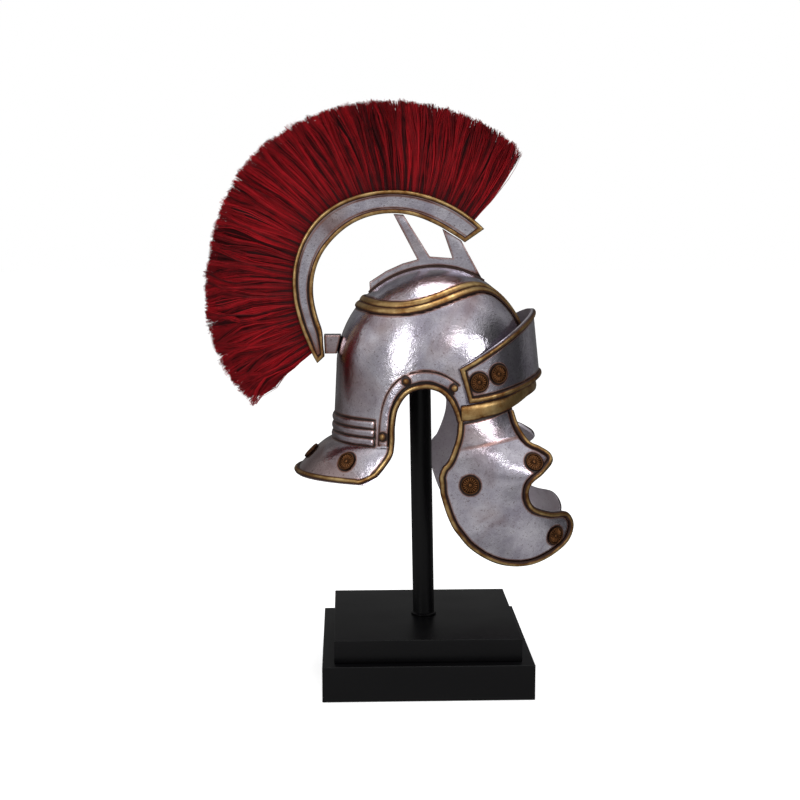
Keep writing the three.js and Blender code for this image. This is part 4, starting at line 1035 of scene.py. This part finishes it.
luck = np.random.default_rng(41)
bundle_span = (lean_back - lean_front) / (sectors * bundles_per_sector)
for sector in range(sectors):
    lines, shades, reaches = [], [], []
    for bundle in range(bundles_per_sector):
        middle = lean_front + (sector * bundles_per_sector + bundle + 0.5) * bundle_span
        n = strands_per_bundle
        u = luck.uniform(-0.5, 0.5, n)
        v = np.sign(luck.uniform(-1, 1, n)) * (1 - luck.uniform(0, 1, n) ** 1.5)
        tuft = np.floor((u + 0.5) * 7) + 8 * np.floor((v + 1) * 1.5)
        tuft_luck = luck.normal(0, 1, (40, 4))[tuft.astype(int) % 40]
        wave = 0.35 + 1.1 * smoothstep(np.array(middle), 140.0, 185.0)
        phase = luck.uniform(0, 2 * math.pi)
        share = np.linspace(-0.05, 1, strand_points)[:, None]
        out = np.maximum(share, 0)
        spread = 0.72 + 0.28 * smoothstep(share, 0.0, 0.3) + 0.16 * share
        root = middle + u * bundle_span * spread
        length = (0.98 + 0.012 * tuft_luck[:, 0] + luck.uniform(-0.035, 0.02, n))[None]
        along_it = share * length
        angle = root + (tip_angle(root) - root) * along_it
        # Three waves round the fan, which grow toward the tips and pass from strand to strand.
        side_turn = v * 1.7 + root * 0.31
        flow = (np.sin(root * 0.23 + share * 5 + side_turn) + 0.6 * np.sin(root * 0.83 - share * 7.5 + v * 2.6 + 2.1)
                + 0.35 * np.sin(root * 2.1 + share * 9 + phase))
        angle = angle + (0.45 + wave) * flow * out * 0.95
        angle = angle + (tuft_luck[:, 2] * 0.5 + luck.normal(0, 0.45, n)) * out ** 1.5
        start = spoke(outer_key, root) + gap
        radius = start + (spoke(hair_key, tip_angle(root)) - start) * along_it
        half = np.where(share < 0.45, root_half + (middle_half - root_half) * share / 0.45,
                        middle_half + (tip_half - middle_half) * (share - 0.45) / 0.55)
        round_off = np.sqrt(1 - (0.75 * 2 * u) ** 2)
        y = half * v * (0.55 + 0.45 * round_off) + tuft_luck[:, 3] * 0.5 * share + luck.normal(0, 0.4, n) * share
        y = np.clip(y, -(half + 1.5), half + 1.5)
        lines.append(crest_point(angle, radius, y))
        # Each tuft and strand has its own tone, and over it lie bands of painted sheen and painted shade that run
        # with the waves.
        tone = 0.38 + 0.13 * tuft_luck[:, 1] + luck.normal(0, 0.1, n)
        painted_sheen_bands = 0.2 * np.sin(root * 1.9 + share * 3.1 + v * 1.4) + 0.16 * np.sin(root * 4.7 - share * 5.3 + side_turn)
        shades.append(tone + painted_sheen_bands)
        reaches.append(np.broadcast_to(share, (strand_points, n)))
    points = np.concatenate(lines, 1).transpose(1, 0, 2).reshape(-1, 3)
    total = len(points) // strand_points
    starts = np.arange(total)[:, None] * strand_points + np.arange(strand_points - 1)[None]
    edges = np.stack([starts, starts + 1], -1).reshape(-1, 2)
    mesh = bpy.data.meshes.new(f"crest_bristles_{sector + 1}")
    mesh.from_pydata((points / 1000).tolist(), edges.tolist(), [])
    for key, values in (("shade", shades), ("reach", reaches)):
        write_values(mesh, key, np.concatenate(values, 1).T)
    tuft_piece = run_group(add_object(mesh.name, mesh), bristles, {
        "Radius": strand_radius / 1000, "Tip share": 0.55, "Finish": hair})
    tuft_piece.data.shade_smooth()
    dress(tuft_piece, "crest_hair", f"crest_hair_{sector + 1}")

# A dark filler sheet inside the fan, which closes the gaps so that the light doesn't pass between the strands; its
# dark red is a painted shade for the depth of the hair.
core_angles = np.linspace(lean_front + 1.5, lean_back - 1.5, 120)
core_shares = np.linspace(-0.04, 0.88, 12)
core_loop = [(t, -1) for t in core_shares] + [(t, 1) for t in core_shares[::-1]]
rings = []
for t, side in core_loop:
    start = spoke(outer_key, core_angles)
    radius = start + (spoke(hair_key, tip_angle(core_angles)) - start) * t
    angle = core_angles + (tip_angle(core_angles) - core_angles) * t
    half = 5.5 + 5.5 * min(max(t, 0) / 0.45, 1) - 5 * max(t - 0.6, 0)
    rings.append(crest_point(angle, radius, side * half))
rings = np.stack(rings, 1)
# Its low shade value and short reach paint it the darkest red of the hair, as painted shade.
shade_core = make_piece("crest_bristle_core", rings, tube_faces(len(rings), len(core_loop)), hair,
                  {"shade": np.full(rings.shape[:2], -0.1), "reach": np.full(rings.shape[:2], 0.12)})
dress(shade_core, "crest_hair")

# Studio. A pale flat floor under the stand and four oval softboxes: key on the camera's left, two on its right
# and one above. The room grows darker behind and toward the face, with clutter, so that the silver shows bands.
floor_mesh = bpy.data.meshes.new("studio_floor")
floor_mesh.from_pydata([(-9, -9, -0.0005), (9, -9, -0.0005), (9, 9, -0.0005), (-9, 9, -0.0005)], [], [(0, 1, 2, 3)])
floor = add_object("studio_floor", floor_mesh)
paper, tree, surface, place = start_material("white_paper")
feed(tree, surface, {"Base Color": linear("#f4f4f4"), "Roughness": 0.9, "Emission Color": linear("#ffffff"),
                     "Emission Strength": 0.62})
paper.cycles.emission_sampling = "NONE"
floor.visible_glossy = False
floor_mesh.materials.append(paper)


def softbox(name, place, aim, width, height, watts):
    light = bpy.data.lights.new(name, "AREA")
    light.shape, light.size, light.size_y, light.energy = "ELLIPSE", width, height, watts
    lamp = add_object(name, light)
    lamp.location = place
    direction = np.array(aim) - np.array(place)
    lamp.rotation_euler = (math.atan2(math.hypot(direction[0], direction[1]), -direction[2]), 0,
                           math.atan2(direction[1], direction[0]) - math.pi / 2)


softbox("key_softbox", (-1.22, -1.72, 1.0), (0, 0, 0.36), 0.42, 1.6, 8)
softbox("right_softbox", (1.5, -1.5, 0.95), (0, 0, 0.36), 0.5, 0.7, 6)
softbox("cheek_softbox", (0.89, -1.92, 1.44), (0, 0, 0.36), 0.7, 0.3, 3.2)
softbox("top_softbox", (0.1, 0.0, 2.1), (0, 0, 0.4), 1.2, 1.0, 13)

world = bpy.data.worlds.new("studio")
scene.world = world
world.use_nodes = True
tree = world.node_tree
direction = add_node(tree, "ShaderNodeTexCoord", {}).outputs["Generated"]
parts = add_node(tree, "ShaderNodeSeparateXYZ", {0: direction}).outputs
room, behind = ranged(tree, parts["Z"], -0.1, 0.75, 0.45, 0.8), ranged(tree, parts["Y"], -0.2, 0.7, 1, 0.27)
toward_dark = add_node(tree, "ShaderNodeVectorMath", {0: direction, 1: (0.96, -0.2, 0.12)}, operation="DOT_PRODUCT")
dark_side = ranged(tree, toward_dark.outputs["Value"], 0.74, 0.92, 1, 0.12)
clutter = ranged(tree, noise(tree, direction, 3, 3), 0.4, 0.6, 0.72, 1.2)
darker = maths(tree, "MULTIPLY", maths(tree, "MULTIPLY", room, behind), dark_side)
seen = add_node(tree, "ShaderNodeLightPath", {}).outputs["Is Camera Ray"]
strength = add_node(tree, "ShaderNodeMix", {0: seen, 2: maths(tree, "MULTIPLY", darker, clutter), 3: 1.0})
feed(tree, tree.nodes["Background"], {"Color": linear("#ffffff"), "Strength": strength.outputs[0]})
scene.view_settings.view_transform = "Standard"
